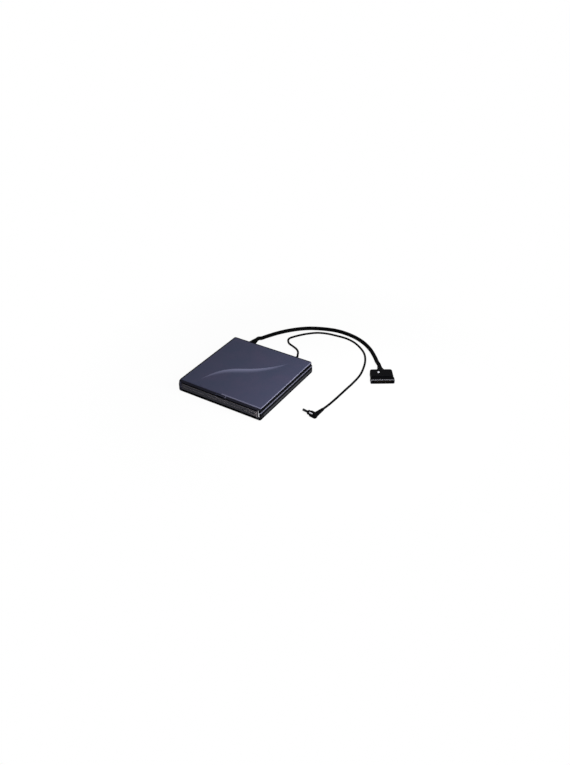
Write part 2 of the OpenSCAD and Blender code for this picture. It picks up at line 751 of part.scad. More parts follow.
module plug_screws() {
    color("#77797c") on_plug() for (s = [-1, 1]) translate([s * (plug_w / 2 - 5), -plug_d / 2, 0]) {
        translate([0, 0, 0.3]) cylinder(r = 1.4, h = 0.9);
        translate([0, 0, 1]) cylinder(r = tap_r, h = plug_z + 1);
    }
}

module plug_flange() {
    color("#161618") on_plug() difference() {
        translate([0, -plug_d, 0]) rotate([90, 0, 0]) linear_extrude(flange_d)
            polygon(plan(flange_w / 2, 0, flange_h, 1.5, 1.5));
        slab([-flange_w / 2 + 3, -plug_d - flange_d - bite, 1.4],
            [flange_w / 2 - 3, -plug_d - 1.5, flange_h - 1.4]);
    }
}

module plug_tongue() {
    color("#2a2a2e") on_plug() slab([-flange_w / 2 + 4.5, -plug_d - flange_d + 1, flange_h / 2 - 0.7],
        [flange_w / 2 - 4.5, -plug_d - 1.5, flange_h / 2 + 0.7]);
}

contact_n = 18;
module plug_contacts() {
    step = (flange_w - 11) / (contact_n - 1);
    color("#c8a24a") on_plug() for (i = [0:contact_n - 1]) for (s = [-1, 1])
        translate([(i - (contact_n - 1) / 2) * step, -plug_d - flange_d / 2 - 0.4, flange_h / 2 + s * 0.8])
            cube([0.6, flange_d - 2.8, 0.2], center = true);
}

module plug_boot() {
    color("#151516") on_plug() along_y(0, 0, plug_z)
        rotate_extrude() polygon([[0, 0], [plug_z - 0.1, 0], [plug_z - 0.3, 2], [data_tip, plug_boot_l],
            [0, plug_boot_l]]);
}

module power_plug_body() {
    color("#161617") on_elbow() difference() {
        translate([elbow_mid, 0, 0.4]) level([
            [-0.4, plan(elbow_half - 0.4, 0.4 - elbow_front, elbow_back - 0.4, 1.6, 1.6)],
            [0.6, plan(elbow_half, -elbow_front, elbow_back, 2, 2)],
            [elbow_h - 2, plan(elbow_half, -elbow_front, elbow_back, 2, 2)],
            [elbow_h - 0.4, plan(elbow_half - 1.2, 1.2 - elbow_front, elbow_back - 1.2, 1, 1)]]);
        slab([-elbow_flat - 9, -9, -bite], [-elbow_flat, 9, elbow_h + bite]);
    }
    color("#161617") on_elbow() translate([-elbow_flat, 0, elbow_z]) rotate([0, -90, 0])
        difference() {
            cylinder(r = elbow_z - 0.1, h = elbow_left - elbow_flat);
            translate([0, 0, elbow_left - elbow_flat - 3]) cylinder(d = barrel_d - 0.8, h = 3 + bite);
        }
}

module power_plug_boot() {
    color("#151516") on_elbow() along_y(0, elbow_back, elbow_z)
        rotate_extrude() polygon([[0, 0], [elbow_z - 0.1, 0], [elbow_z - 0.3, 2], [power_tip, elbow_boot_l],
            [0, elbow_boot_l]]);
}

module power_plug_barrel() {
    color("#c9cbcd") on_elbow() translate([-elbow_left + 3, 0, elbow_z]) rotate([0, -90, 0]) difference() {
        union() {
            cylinder(d = barrel_d - 0.8, h = 3 + bite);
            translate([0, 0, 3]) cylinder(d = barrel_d, h = barrel_l);
        }
        translate([0, 0, 3.6]) cylinder(d = barrel_d - 1, h = barrel_l);
    }
}

module power_plug_sleeve() {
    color("#1d1d1f") on_elbow() translate([-elbow_left - 0.6, 0, elbow_z]) rotate([0, -90, 0]) difference() {
        cylinder(d = barrel_d - 1, h = barrel_l - 1);
        translate([0, 0, 1]) cylinder(d = barrel_d - 2.2, h = barrel_l);
    }
}

// Slide
module right_rail() {
    color("#b4b7ba") slab([rail_in, rail_y, z_rail - rail_h / 2],
        [rail_out, rail_y + rail_l, z_rail + rail_h / 2]);
}

module left_rail() {
    mirror([1, 0, 0]) right_rail();
}

module button_hole(y0, y1, grow) {
    slab([button_x - button_w / 2 - grow, y0, button_z - button_h / 2 - grow],
        [button_x + button_w / 2 + grow, y1, button_z + button_h / 2 + grow]);
}

// Tray
module tray() {
    inner = tray_x - tray_wall;
    color("#2b2b30") difference() {
        union() {
            difference() {
                slab([-tray_x, y_tray, z_skirt], [tray_x, y_tray_end, z_tray]);
                translate([0, disc_y, z_well]) cylinder(r = well_r, h = well_h + bite, $fn = 120);
                slab([-inner, y_tray + wall_t, z_skirt - bite], [inner, y_tray_end - wall_t, z_plate]);
                difference() {
                    slab([-inner, y_tray + wall_t, z_skirt - bite], [inner, y_tray_end - wall_t, z_deck]);
                    translate([0, disc_y, z_skirt - 2 * bite])
                        cylinder(r = well_r + rim_t, h = z_tray, $fn = 120);
                }
            }
            on_traverse() for (p = mount_at) translate([p[0], p[1], z_base + grommet_h])
                cylinder(r = post_r, h = (norm(p) > well_r ? z_deck : z_plate) - z_base - grommet_h + 0.5);
            for (p = board_posts) translate([p[0], p[1], z_board + board_t])
                cylinder(r = post_r, h = z_plate - z_board - board_t + 0.5);
            slab([coil_lo[0], coil_lo[1], coil_z], [coil_hi[0], coil_hi[1], z_deck + 0.5]);
            slab([spring_x - 3, y_tray_end - 12, z_skirt + 1.4], [spring_x + 3, y_tray_end, z_deck + 0.5]);
        }
        translate([0, disc_y, z_skirt]) cylinder(r = table_d / 2 + 1.4, h = z_tray);
        on_traverse() slab([10, -lens_half - 2.6, z_plate - bite],
            [lens_in + sled_travel + sled_half + 1, lens_half + 2.6, z_well + 0.05]);
        on_traverse() for (p = mount_at) translate([p[0], p[1], z_base]) cylinder(r = tap_r + fit, h = 3.4);
        for (p = board_posts) translate([p[0], p[1], z_board]) cylinder(r = tap_r + fit, h = 2.8);
        both() slab([tray_x - rail_cut, y_tray - bite, z_rail - rail_h / 2 - slide_gap],
            [tray_x + bite, y_tray_end + bite, z_rail + rail_h / 2 + slide_gap]);
        both() slab([tray_x - 4.4, disc_y - window_w / 2, z_well],
            [tray_x + bite, disc_y + window_w / 2, z_tray + bite]);
        slab([latch_post_at[0] - 2.4, y_tray_end - 2 * wall_t, z_skirt - bite],
            [latch_post_at[0] + 2.4, y_tray_end + bite, z_pan + 4.6]);
        along_y(spring_x, y_tray_end - 11.7, z_skirt + 4.4) cylinder(r = 1.9, h = 14);
        slab([button_x - 1.3, y_tray - bite, button_z - 1.1],
            [button_x + 1.3, y_tray + wall_t + bite, button_z + 1.1]);
        along_y(pinhole_x, y_tray - bite, button_z) cylinder(d = pinhole_d, h = wall_t + 2 * bite);
    }
}

module tray_bezel() {
    top = z_lid_top - 0.9;
    low = z_in + 0.4;
    chin = [1.2, 1.8];
    color("#1e1e22") difference() {
        slab([-bezel_x, y_bezel, low], [bezel_x, y_tray, top]);
        slab([-bezel_x - bite, y_bezel - bite, top - 0.7], [bezel_x + bite, y_bezel + band_in, top + bite]);
        translate([-bezel_x - bite, 0, 0]) rotate([90, 0, 90]) linear_extrude(2 * (bezel_x + bite))
            polygon([[y_bezel - bite, low - bite], [y_bezel + chin[0], low - bite], [y_bezel + chin[0], low],
                [y_bezel, low + chin[1]], [y_bezel - bite, low + chin[1]]]);
        slab([-bezel_x - bite, y_bezel - bite, line_z - 0.25], [bezel_x + bite, y_bezel + 0.4, line_z + 0.25]);
        button_hole(y_bezel - bite, y_tray + bite, 0.2);
        slab([lamp_x - lamp_w / 2 - fit, y_bezel - bite, button_z - 0.6 - fit],
            [lamp_x + lamp_w / 2 + fit, y_tray + bite, button_z + 0.6 + fit]);
        along_y(pinhole_x, y_bezel - bite, button_z) cylinder(d = pinhole_d, h = bezel_t + 2 * bite);
    }
}

module lamp_window() {
    color("#5f8f4c") slab([lamp_x - lamp_w / 2, y_bezel - 0.1, button_z - 0.6],
        [lamp_x + lamp_w / 2, y_tray, button_z + 0.6]);
}

module traverse_plate() {
    color("#9b9ea1") on_traverse() difference() {
        translate([0, 0, z_trav]) linear_extrude(trav_t) polygon([[-trav_back, -trav_low],
            [lens_in, -trav_low], [lens_in + trav_cut, -trav_neck], [reach - trav_tip - trav_cut, -trav_neck],
            [reach - trav_tip, trav_cut - trav_neck], [reach - trav_tip, trav_tip],
            [reach - trav_tip - trav_side, trav_tip + trav_side], [lens_in + trav_cut, trav_high],
            [-trav_back, trav_high]]);
        for (p = mount_at) translate([p[0], p[1], z_trav - bite])
            cylinder(r = tap_r + 0.3, h = trav_t + 2 * bite);
    }
}

module dampers() {
    color("#2f4a72") on_traverse() for (p = mount_at) translate([p[0], p[1], z_base]) difference() {
        cylinder(r = post_r, h = grommet_h);
        translate([0, 0, -bite]) cylinder(r = tap_r + 0.3, h = grommet_h + 2 * bite);
    }
}

module tray_screws() {
    color("#85888b") {
        on_traverse() for (p = mount_at) translate([p[0], p[1], 0]) {
            translate([0, 0, z_trav - head_t]) cylinder(r = head_r, h = head_t);
            translate([0, 0, z_trav - 0.1]) cylinder(r = tap_r, h = 3.8);
        }
        for (p = board_posts) translate([p[0], p[1], 0]) {
            translate([0, 0, z_board - 0.8 * head_t]) cylinder(r = head_r, h = 0.8 * head_t);
            translate([0, 0, z_board - 0.1]) cylinder(r = tap_r, h = 2.6);
        }
    }
}

module spindle_base() {
    color("#8b8e90") on_traverse() translate([0, 0, z_base]) difference() {
        union() {
            cylinder(r = 10, h = base_t);
            cylinder(r = sleeve_r, h = rotor_top - rotor_t - z_base - 0.15);
        }
        translate([0, 0, 0.2]) cylinder(r = shaft_r + run_fit, h = mech_h);
    }
}

module spindle_coils() {
    color("#b5713a") on_traverse() translate([0, 0, z_base + base_t]) difference() {
        union() {
            cylinder(r = 4.4, h = 1.7);
            for (a = [0:40:320]) rotate([0, 0, a]) translate([6.5, 0, 0.85]) cube([5.4, 2, 1.7], center = true);
        }
        translate([0, 0, -bite]) cylinder(r = sleeve_r, h = 1.7 + 2 * bite);
    }
}

module guide_rods() {
    color("#c4c7ca") on_traverse() for (y = [main_y, side_y])
        translate([rod_from, y, z_rod]) rotate([0, 90, 0]) cylinder(r = rod_r, h = rod_to - rod_from);
}

module rod_holders() {
    color("#d9d5c6") on_traverse() difference() {
        for (y = [main_y, side_y]) for (x = [rod_from, rod_to - holder_l])
            slab([x, y - 1.7, z_base], [x + holder_l, y + 1.7, z_rod + rod_r + 0.5]);
        for (y = [main_y, side_y]) translate([rod_from - bite, y, z_rod]) rotate([0, 90, 0])
            cylinder(r = rod_r, h = rod_to - rod_from + 2 * bite);
    }
}

feed_lo = -5;
feed_hi = 9;
feed_end = reach - trav_tip - trav_side;
module feed_motor() {
    color("#7c7f82") on_traverse() difference() {
        union() {
            slab([feed_lo, screw_y - 2.7, z_base], [feed_hi, screw_y + 2.7, z_plate - 0.3]);
            slab([feed_hi - 1, screw_y - 2, z_base], [feed_end, screw_y + 1.4, z_base + 0.4]);
            slab([feed_end - holder_l, screw_y - 1.6, z_base],
                [feed_end, screw_y + 1.4, z_rod + screw_r + 0.4]);
        }
        translate([feed_hi - 3, screw_y, z_rod]) rotate([0, 90, 0])
            cylinder(r = screw_r * 0.7 + run_fit, h = 80);
    }
}

module tray_board() {
    color("#1f5c3a") difference() {
        slab([board_lo[0], board_lo[1], z_board], [board_hi[0], board_hi[1], z_board + board_t]);
        for (p = board_posts) translate([p[0], p[1], z_board - bite])
            cylinder(r = tap_r + 0.2, h = board_t + 2 * bite);
    }
}

module tray_chips() {
    color("#18181a") {
        slab([ffc_x - 1, ffc_end, z_skirt + 0.1], [ffc_x + ffc_w + 1, ffc_end + ffc_socket, z_board]);
        for (c = chips) translate([board_lo[0] + c[0], board_lo[1] + c[1], z_board + board_t])
            cube([c[2], c[3], chip_t]);
    }
}

module eject_switch() {
    color("#3c3c40") slab([button_x - 2.6, y_tray + wall_t, button_z - 1.8],
        [button_x + 2.6, y_tray + wall_t + 3.2, button_z + 1.8]);
}

module latch_solenoid() {
    color("#54473a") {
        slab([coil_lo[0], coil_lo[1], z_skirt + 1], [coil_hi[0], coil_hi[1], coil_z]);
        translate([coil_hi[0] - 0.5, (coil_lo[1] + coil_hi[1]) / 2, z_skirt + 2.6]) rotate([0, 90, 0])
            cylinder(r = 0.8, h = 1.1);
    }
}

module latch_pivot() {
    color("#aaaeb1") translate([latch_at[0], latch_at[1], z_latch - 0.3])
        cylinder(r = pivot_r, h = z_deck - z_latch + 0.3);
}

module latch_lever() {
    color("#c9c5b4") translate([latch_at[0], latch_at[1], z_latch]) difference() {
        union() {
            cylinder(r = 2.4, h = latch_t);
            slab([-1.2, 0, 0], [1.2, 9.4, latch_t]);
            slab([-1.2, 7, 0], [3.9, 9.4, latch_t]);
            slab([-1.2, -12.4, 0], [1, 0, latch_t]);
        }
        translate([0, 0, -bite]) cylinder(r = pivot_r + run_fit, h = latch_t + 2 * bite);
    }
}

module eject_button() {
    color("#2a2a2e") {
        button_hole(y_bezel - 0.2, y_tray - button_travel - 0.1, 0);
        slab([button_x - 1, y_tray - button_travel - 0.2, button_z - 0.8],
            [button_x + 1, y_tray + wall_t - button_travel - 0.1, button_z + 0.8]);
    }
}

// Spindle
module spindle_rotor() {
    color("#b7babd") on_traverse() {
        translate([0, 0, rotor_top - rotor_t]) cylinder(r = rotor_r, h = rotor_t);
        translate([0, 0, z_base + base_t + 0.3]) difference() {
            cylinder(r = rotor_r, h = rotor_top - z_base - base_t - 0.3 - rotor_t / 2);
            translate([0, 0, -bite]) cylinder(r = rotor_r - rotor_wall, h = rotor_top);
        }
        translate([0, 0, z_base + 0.3]) cylinder(r = shaft_r, h = z_seat + 0.6 - z_base - 0.3);
    }
}

module turntable() {
    table_r = table_d / 2;
    color("#26262a") on_traverse() difference() {
        union() {
            translate([0, 0, rotor_top]) cylinder(r = rotor_r - 1, h = z_seat - rotor_top - 0.4);
            translate([0, 0, z_seat - 1.4]) cylinder(r = table_r, h = 1);
            translate([0, 0, z_seat - 0.6]) cylinder(d = hub_d, h = 1.5);
            translate([0, 0, z_seat + 0.9]) cylinder(d1 = hub_d, d2 = hub_d - 2.4, h = 0.8);
        }
        translate([0, 0, rotor_top - bite]) cylinder(r = shaft_r, h = z_seat + 0.6 - rotor_top + bite);
        for (a = [30, 150, 270]) rotate([0, 0, a]) translate([hub_d / 2 - 0.8, 0, z_seat + 0.6])
            sphere(r = ball_r + 0.02);
    }
}

module grip_ring() {
    color("#454548") on_traverse() translate([0, 0, z_seat - 0.4]) difference() {
        cylinder(r = table_d / 2 - 0.2, h = 0.4);
        translate([0, 0, -bite]) cylinder(r = table_d / 2 - 3.4, h = 3);
    }
}

module clamp_balls() {
    color("#d4d6d8") on_traverse() for (a = [30, 150, 270]) rotate([0, 0, a])
        translate([hub_d / 2 - 0.8, 0, z_seat + 0.6]) sphere(r = ball_r);
}

// Sled
module sled() {
    z_low = z_base + 0.3;
    z_high = z_plate - 0.3;
    color("#3a3b40") on_traverse() translate([lens_in, 0, 0]) difference() {
        union() {
            slab([-sled_half, side_y - 2.6, z_low], [sled_half, main_y + 2.2, z_high]);
            slab([-lens_half, -lens_half, z_high - 0.2], [lens_half, lens_half, z_well - 0.4]);
            slab([-2, main_y + 2, z_rod - 0.5], [2, screw_y - screw_r - 0.1, z_rod + 0.5]);
        }
        translate([-sled_half - bite, main_y, z_rod]) rotate([0, 90, 0])
            cylinder(r = rod_r + run_fit, h = 2 * sled_half + 2 * bite);
        slab([-sled_half - bite, side_y - 5, z_rod - rod_r - fit],
            [sled_half + bite, side_y + rod_r + fit, z_rod + rod_r + fit]);
        translate([0, 0, z_well - 1.2]) cylinder(r = 3, h = 3);
    }
}

module objective_lens() {
    color("#7aa0c8") on_traverse() translate([lens_in, 0, z_well - 1.2]) {
        cylinder(r = 3, h = 0.8);
        translate([0, 0, 0.8]) cylinder(r1 = 2.4, r2 = 1.4, h = 0.5);
    }
}

module lead_screw() {
    from = feed_hi;
    to = feed_end - holder_l;
    color("#c7cacd") on_traverse() translate([0, screw_y, z_rod]) rotate([0, 90, 0]) {
        translate([0, 0, from - 2.6]) cylinder(r = screw_r * 0.7, h = to - from + 4.6);
        for (x = [from + 1:feed_pitch / 2:to - 1]) translate([0, 0, x])
            cylinder(r = screw_r, h = feed_pitch / 4);
    }
}

bottom_case();
top_cover();
rubber_feet();
case_screws();
drive_screws();
drive_pan();
drive_lid();
lid_screws();
left_guide();
right_guide();
latch_post();
eject_spring();
ribbon_cable();
drive_connector();
board_connector();
interface_board();
board_parts();
cable_leads();
interface_boot();
power_boot_case();
interface_cable();
power_cable();
plug_hood_top();
plug_hood_bottom();
plug_screws();
plug_flange();
plug_tongue();
plug_contacts();
plug_boot();
power_plug_body();
power_plug_boot();
power_plug_barrel();
power_plug_sleeve();
left_rail();
right_rail();
tray();
tray_bezel();
lamp_window();
traverse_plate();
dampers();
tray_screws();
spindle_base();
spindle_coils();
guide_rods();
rod_holders();
feed_motor();
tray_board();
tray_chips();
eject_switch();
latch_solenoid();
latch_pivot();
eject_button();
spindle_rotor();
turntable();
grip_ring();
clamp_balls();
sled();
objective_lens();
lead_screw();
latch_lever();
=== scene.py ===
"""The looks of an external disc drive: its case, tray front, two fixed cables and their plugs.

Pieces are modelled in millimetres and handed over in metres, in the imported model's own frame.
"""

import json
import logging
import math
from collections.abc import Callable, Sequence
from dataclasses import dataclass
from enum import Enum

import bmesh
import bpy
from mathutils import Matrix, Vector

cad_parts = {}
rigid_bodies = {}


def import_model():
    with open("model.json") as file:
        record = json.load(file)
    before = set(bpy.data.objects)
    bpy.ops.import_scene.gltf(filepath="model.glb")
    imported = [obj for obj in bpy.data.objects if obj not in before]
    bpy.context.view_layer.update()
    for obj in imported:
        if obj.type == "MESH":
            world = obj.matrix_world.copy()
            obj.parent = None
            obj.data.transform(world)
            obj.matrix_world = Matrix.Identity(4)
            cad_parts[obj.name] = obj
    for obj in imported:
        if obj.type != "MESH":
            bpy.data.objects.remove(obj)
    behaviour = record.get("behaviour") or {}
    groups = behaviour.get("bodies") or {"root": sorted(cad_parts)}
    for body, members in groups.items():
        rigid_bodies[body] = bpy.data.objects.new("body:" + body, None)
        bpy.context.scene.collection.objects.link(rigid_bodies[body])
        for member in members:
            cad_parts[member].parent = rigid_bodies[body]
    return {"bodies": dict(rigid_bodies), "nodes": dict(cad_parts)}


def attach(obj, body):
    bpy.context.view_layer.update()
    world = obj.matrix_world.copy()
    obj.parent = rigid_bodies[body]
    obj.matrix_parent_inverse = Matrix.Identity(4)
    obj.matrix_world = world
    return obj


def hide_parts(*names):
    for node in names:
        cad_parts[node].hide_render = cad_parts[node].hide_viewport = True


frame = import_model()

LOG = logging.getLogger("disc_drive")
MM = 0.001
# How near, in millimetres, counts as the same place, and as the same corner.
NEAR_BY = 0.01
SAME_CORNER = 0.0005
# A face looks one way if its normal goes that way by this share, and an edge is creased past this angle.
SQUARE_ON = 0.995
CREASE = 0.12
# How far the walls of a dish lean, as a share of its depth.
DISH_LEAN = 0.6
# How much large flat faces count in a piece's shading, where 50 is even.
FLAT_WEIGHT = 90
# Numbers of the colour sockets on a Mix node, whose names repeat.
SHARE, FROM, TO, MIXED = 0, 6, 7, 2

Pair = tuple[float, float]
Triple = tuple[float, float, float]
Tree = bpy.types.NodeTree
Node = bpy.types.Node
Socket = bpy.types.NodeSocket
Face = bmesh.types.BMFace
Edge = bmesh.types.BMEdge
Where = Callable[[Vector], bool]


class Body(Enum):
    """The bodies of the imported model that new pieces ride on."""

    CASE = "case"
    TRAY = "tray"
    BUTTON = "eject_button"


class Slot(Enum):
    """The record's material slots, handed over with each new piece."""

    COVER = "cover_plastic"
    CASE = "case_plastic"
    FRONT = "front_plastic"
    BLACK = "black_plastic"
    SOFT = "soft_black"
    STEEL = "bright_steel"
    LAMP = "lamp_green"


class Part(Enum):
    """What a selection in edit mode is made of, and the list that holds it."""

    FACE = "faces"
    EDGE = "edges"


class Way(Enum):
    """The ways that a face or a cutting plane can look."""

    RIGHT = (1, 0, 0)
    LEFT = (-1, 0, 0)
    FAR = (0, 1, 0)
    NEAR = (0, -1, 0)
    UP = (0, 0, 1)
    DOWN = (0, 0, -1)


class Lying(Enum):
    """Which way a turned piece points once it is laid down, with the axis that it is tipped about."""

    REAR = "X"
    LEFT = "Y"


class Half(Enum):
    """The halves of the interface plug's hood, with the node that each stands for."""

    UPPER = "plug_hood_top"
    LOWER = "plug_hood_bottom"


def linear(code: str) -> tuple[float, float, float, float]:
    """Turns an sRGB hex colour into linear light.

    Args:
        code: The colour, such as "#43445a".

    Returns:
        Red, green, blue and a full alpha.
    """
    shares = [int(code[i : i + 2], 16) / 255 for i in (1, 3, 5)]
    red, green, blue = [c / 12.92 if c <= 0.04045 else ((c + 0.055) / 1.055) ** 2.4 for c in shares]
    return red, green, blue, 1.0


def fineness(size: float) -> float:
    """Gives the scale of a pattern whose grain has a size in millimetres."""
    return 1 / (size * MM)


def fresh(owner: bpy.types.Material | bpy.types.World) -> Tree:
    """Gives a material or a world an empty node tree.

    Args:
        owner: The material or the world.

    Returns:
        Its node tree.
    """
    owner.use_nodes = True
    owner.node_tree.nodes.clear()
    return owner.node_tree


def put(tree: Tree, kind: str, feeds: dict | None = None, **settings: object) -> Node:
    """Adds one shader node with its settings and links.

    Args:
        tree: The material's or world's node tree.
        kind: Blender's name of the node, without the beginning that all of them share.
        feeds: Socket name or number to a value or to the output that feeds it.
        settings: Attributes of the node itself.

    Returns:
        The new node.
    """
    made = tree.nodes.new("ShaderNode" + kind)
    for name, value in settings.items():
        setattr(made, name, value)
    for key, value in (feeds or {}).items():
        if isinstance(value, Socket):
            tree.links.new(value, made.inputs[key])
        else:
            made.inputs[key].default_value = value
    return made


@dataclass(frozen=True)
class Pot:
    """A material in the making: its nodes, its shader and the place on the piece."""

    tree: Tree
    shader: Node
    where: Socket

    def feed(self, name: str, source: Node, output: int = 0) -> None:
        """Feeds one socket of the shader from a node."""
        self.tree.links.new(source.outputs[output], self.shader.inputs[name])

    def fix(self, name: str, value: float) -> None:
        """Sets one socket of the shader to a value that holds all over the piece."""
        self.shader.inputs[name].default_value = value


@dataclass(frozen=True)
class Finish:
    """What every finish has: a name, a colour, a roughness and a shine."""

    name: str
    colour: str
    rough: float
    shine: float = 0.5

    def material(self) -> bpy.types.Material:
        """Gives the finish's material, which is made once.

        Returns:
            The material, with the finish's own pattern.
        """
        found = bpy.data.materials.get(self.name)
        if found is not None:
            return found
        made = bpy.data.materials.new(self.name)
        tree = fresh(made)
        shader = put(tree, "BsdfPrincipled", {
            "Base Color": linear(self.colour), "Roughness": self.rough, "Specular IOR Level": self.shine})
        put(tree, "OutputMaterial", {"Surface": shader.outputs[0]})
        self.paint(Pot(tree, shader, put(tree, "TexCoord").outputs["Object"]))
        return made

    def paint(self, pot: Pot) -> None:
        """Adds the finish's own pattern to the material."""
        raise NotImplementedError


@dataclass(frozen=True)
class MouldedPlastic(Finish):
    """Injection-moulded plastic from a spark-eroded tool: an even matt grain and a faint cloudy shade.

    The grain of such a tool is a few tenths of a millimetre. It is drawn coarser, so that it shows.
    """

    shade: str = "#202020"
    grain: float = 0.9
    cloud: float = 26.0
    depth: float = 0.03
    ior: float = 1.53
    contrast: Pair = (0.12, 0.42)
    unevenness: float = 0.07
    relief: float = 0.35

    def paint(self, pot: Pot) -> None:
        """Clouds the colour, and roughens the surface with the tool's grain.

        Args:
            pot: The material in the making.
        """
        tree, where = pot.tree, pot.where
        cloud = put(tree, "TexNoise", {"Vector": where, "Scale": fineness(self.cloud), "Detail": 3.0})
        grain = put(tree, "TexNoise", {"Vector": where, "Scale": fineness(self.grain), "Detail": 2.0})
        both = put(tree, "Math", {0: cloud.outputs["Fac"], 1: grain.outputs["Fac"]}, operation="MULTIPLY")
        share = put(tree, "MapRange", {
            "Value": both.outputs[0], "From Min": self.contrast[0], "From Max": self.contrast[1]})
        tint = put(tree, "Mix", {
            SHARE: share.outputs[0], FROM: linear(self.shade), TO: linear(self.colour)}, data_type="RGBA")
        matt = put(tree, "MapRange", {
            "Value": grain.outputs["Fac"], "To Min": self.rough - self.unevenness,
            "To Max": self.rough + self.unevenness})
        bump = put(tree, "Bump", {
            "Height": grain.outputs["Fac"], "Strength": self.relief, "Distance": self.depth * MM})
        pot.feed("Base Color", tint, MIXED)
        pot.feed("Roughness", matt)
        pot.feed("Normal", bump)
        pot.fix("IOR", self.ior)


@dataclass(frozen=True)
class SheenedPlastic(MouldedPlastic):
    """The same moulded plastic on the wave, with a painted highlight on the crest and a painted shadow
    along the step, both fading at both ends.

    The crest, its foot and the end of its fade are shares of the patch's width, from the step's side.
    """

    sheen: str = "#606060"
    step_shadow: str = "#202020"
    foot: float = 0.02
    crest: float = 0.36
    fade: float = 0.92
    turnover: float = 0.05
    step_top: float = 0.06
    taper: float = 0.5

    def paint(self, pot: Pot) -> None:
        """Paints the highlight and the shadow along and across the wave by the patch's own UV.

        Args:
            pot: The material in the making.
        """
        super().paint(pot)
        tree = pot.tree
        plain = pot.shader.inputs["Base Color"].links[0].from_socket
        place = put(tree, "SeparateXYZ", {0: put(tree, "TexCoord").outputs["UV"]})
        along, across = place.outputs[0], place.outputs[1]
        turn = put(tree, "Math", {0: along, 1: math.pi}, operation="MULTIPLY")
        bow = put(tree, "Math", {0: turn.outputs[0]}, operation="SINE")
        ends = put(tree, "Math", {0: bow.outputs[0], 1: self.taper}, operation="POWER").outputs[0]
        soft = put(tree, "MapRange", {
            "Value": across, "From Min": self.crest, "From Max": self.fade, "To Min": 1.0, "To Max": 0.0},
            interpolation_type="SMOOTHSTEP")
        behind = put(tree, "MapRange", {
            "Value": across, "From Min": self.foot, "From Max": self.crest - self.step_top})
        front = put(tree, "Math", {0: across, 1: self.crest - self.turnover}, operation="GREATER_THAN")
        pale = put(tree, "Math", {0: soft.outputs[0], 1: ends}, operation="MULTIPLY")
        dark = put(tree, "Math", {0: behind.outputs[0], 1: ends}, operation="MULTIPLY")
        lit = put(tree, "Mix", {
            SHARE: pale.outputs[0], FROM: plain, TO: linear(self.sheen)}, data_type="RGBA")
        shaded = put(tree, "Mix", {
            SHARE: dark.outputs[0], FROM: plain, TO: linear(self.step_shadow)}, data_type="RGBA")
        whole = put(tree, "Mix", {
            SHARE: front.outputs[0], FROM: shaded.outputs[MIXED], TO: lit.outputs[MIXED]}, data_type="RGBA")
        pot.feed("Base Color", whole, MIXED)


@dataclass(frozen=True)
class CableJacket(Finish):
    """Extruded PVC: black and supple, with the slow swell and the fine drag lines of the die."""

    shade: str = "#0d0d0e"
    swell: float = 14.0
    drag: float = 1.2
    depth: float = 0.08
    relief: float = 0.25
    polish: float = 0.08
    scuff: float = 0.1

    def paint(self, pot: Pot) -> None:
        """Varies the shade along the jacket, and its gloss with the die's lines.

        Args:
            pot: The material in the making.
        """
        tree, where = pot.tree, pot.where
        swell = put(tree, "TexNoise", {"Vector": where, "Scale": fineness(self.swell), "Detail": 2.0})
        drag = put(tree, "TexNoise", {"Vector": where, "Scale": fineness(self.drag), "Detail": 4.0})
        tint = put(tree, "Mix", {
            SHARE: swell.outputs["Fac"], FROM: linear(self.shade), TO: linear(self.colour)},
            data_type="RGBA")
        matt = put(tree, "MapRange", {
            "Value": drag.outputs["Fac"], "To Min": self.rough - self.polish,
            "To Max": self.rough + self.scuff})
        bump = put(tree, "Bump", {
            "Height": swell.outputs["Fac"], "Strength": self.relief, "Distance": self.depth * MM})
        pot.feed("Base Color", tint, MIXED)
        pot.feed("Roughness", matt)
        pot.feed("Normal", bump)


@dataclass(frozen=True)
class RolledMetal(Finish):
    """Bare or plated metal: the mill's or the lathe's lines run one way and stretch its reflections."""

    shade: str = "#6f7274"
    lines: float = 0.6
    run: float = 24.0
    polish: float = 0.1
    scuff: float = 0.12

    def paint(self, pot: Pot) -> None:
        """Draws fine lines along one direction into the colour and the polish.

        Args:
            pot: The material in the making.
        """
        tree, fine = pot.tree, fineness(self.lines)
        along = put(tree, "Mapping", {"Vector": pot.where, "Scale": (fineness(self.run), fine, fine)})
        line = put(tree, "TexNoise", {"Vector": along.outputs[0], "Scale": 1.0, "Detail": 3.0})
        tint = put(tree, "Mix", {
            SHARE: line.outputs["Fac"], FROM: linear(self.shade), TO: linear(self.colour)},
            data_type="RGBA")
        matt = put(tree, "MapRange", {
            "Value": line.outputs["Fac"], "To Min": self.rough - self.polish,
            "To Max": self.rough + self.scuff})
        pot.feed("Base Color", tint, MIXED)
        pot.feed("Roughness", matt)
        pot.fix("Metallic", 1.0)


@dataclass(frozen=True)
class CircuitBoard(Finish):
    """Glass-epoxy board under green solder mask: straight copper tracks show as paler, raised lines."""

    track: str = "#3f8a5c"
    pitch: float = 2.6
    width: float = 0.03
    depth: float = 0.05
    relief: float = 0.4
    tilt: Triple = (0.4, 0.3, 0.0)

    def paint(self, pot: Pot) -> None:
        """Lays tracks of a brick pattern's joints over the mask.

        Args:
            pot: The material in the making.
        """
        tree = pot.tree
        lift = put(tree, "Mapping", {"Vector": pot.where, "Rotation": self.tilt})
        plan = put(tree, "TexBrick", {
            "Vector": lift.outputs[0], "Scale": fineness(2 * self.pitch), "Mortar Size": self.width,
            "Color1": (1, 1, 1, 1), "Color2": (0.85, 0.85, 0.85, 1), "Mortar": (0, 0, 0, 1)})
        tint = put(tree, "Mix", {
            SHARE: plan.outputs["Color"], FROM: linear(self.track), TO: linear(self.colour)},
            data_type="RGBA")
        bump = put(tree, "Bump", {
            "Height": plan.outputs["Fac"], "Strength": self.relief, "Distance": self.depth * MM})
        pot.feed("Base Color", tint, MIXED)
        pot.feed("Normal", bump)


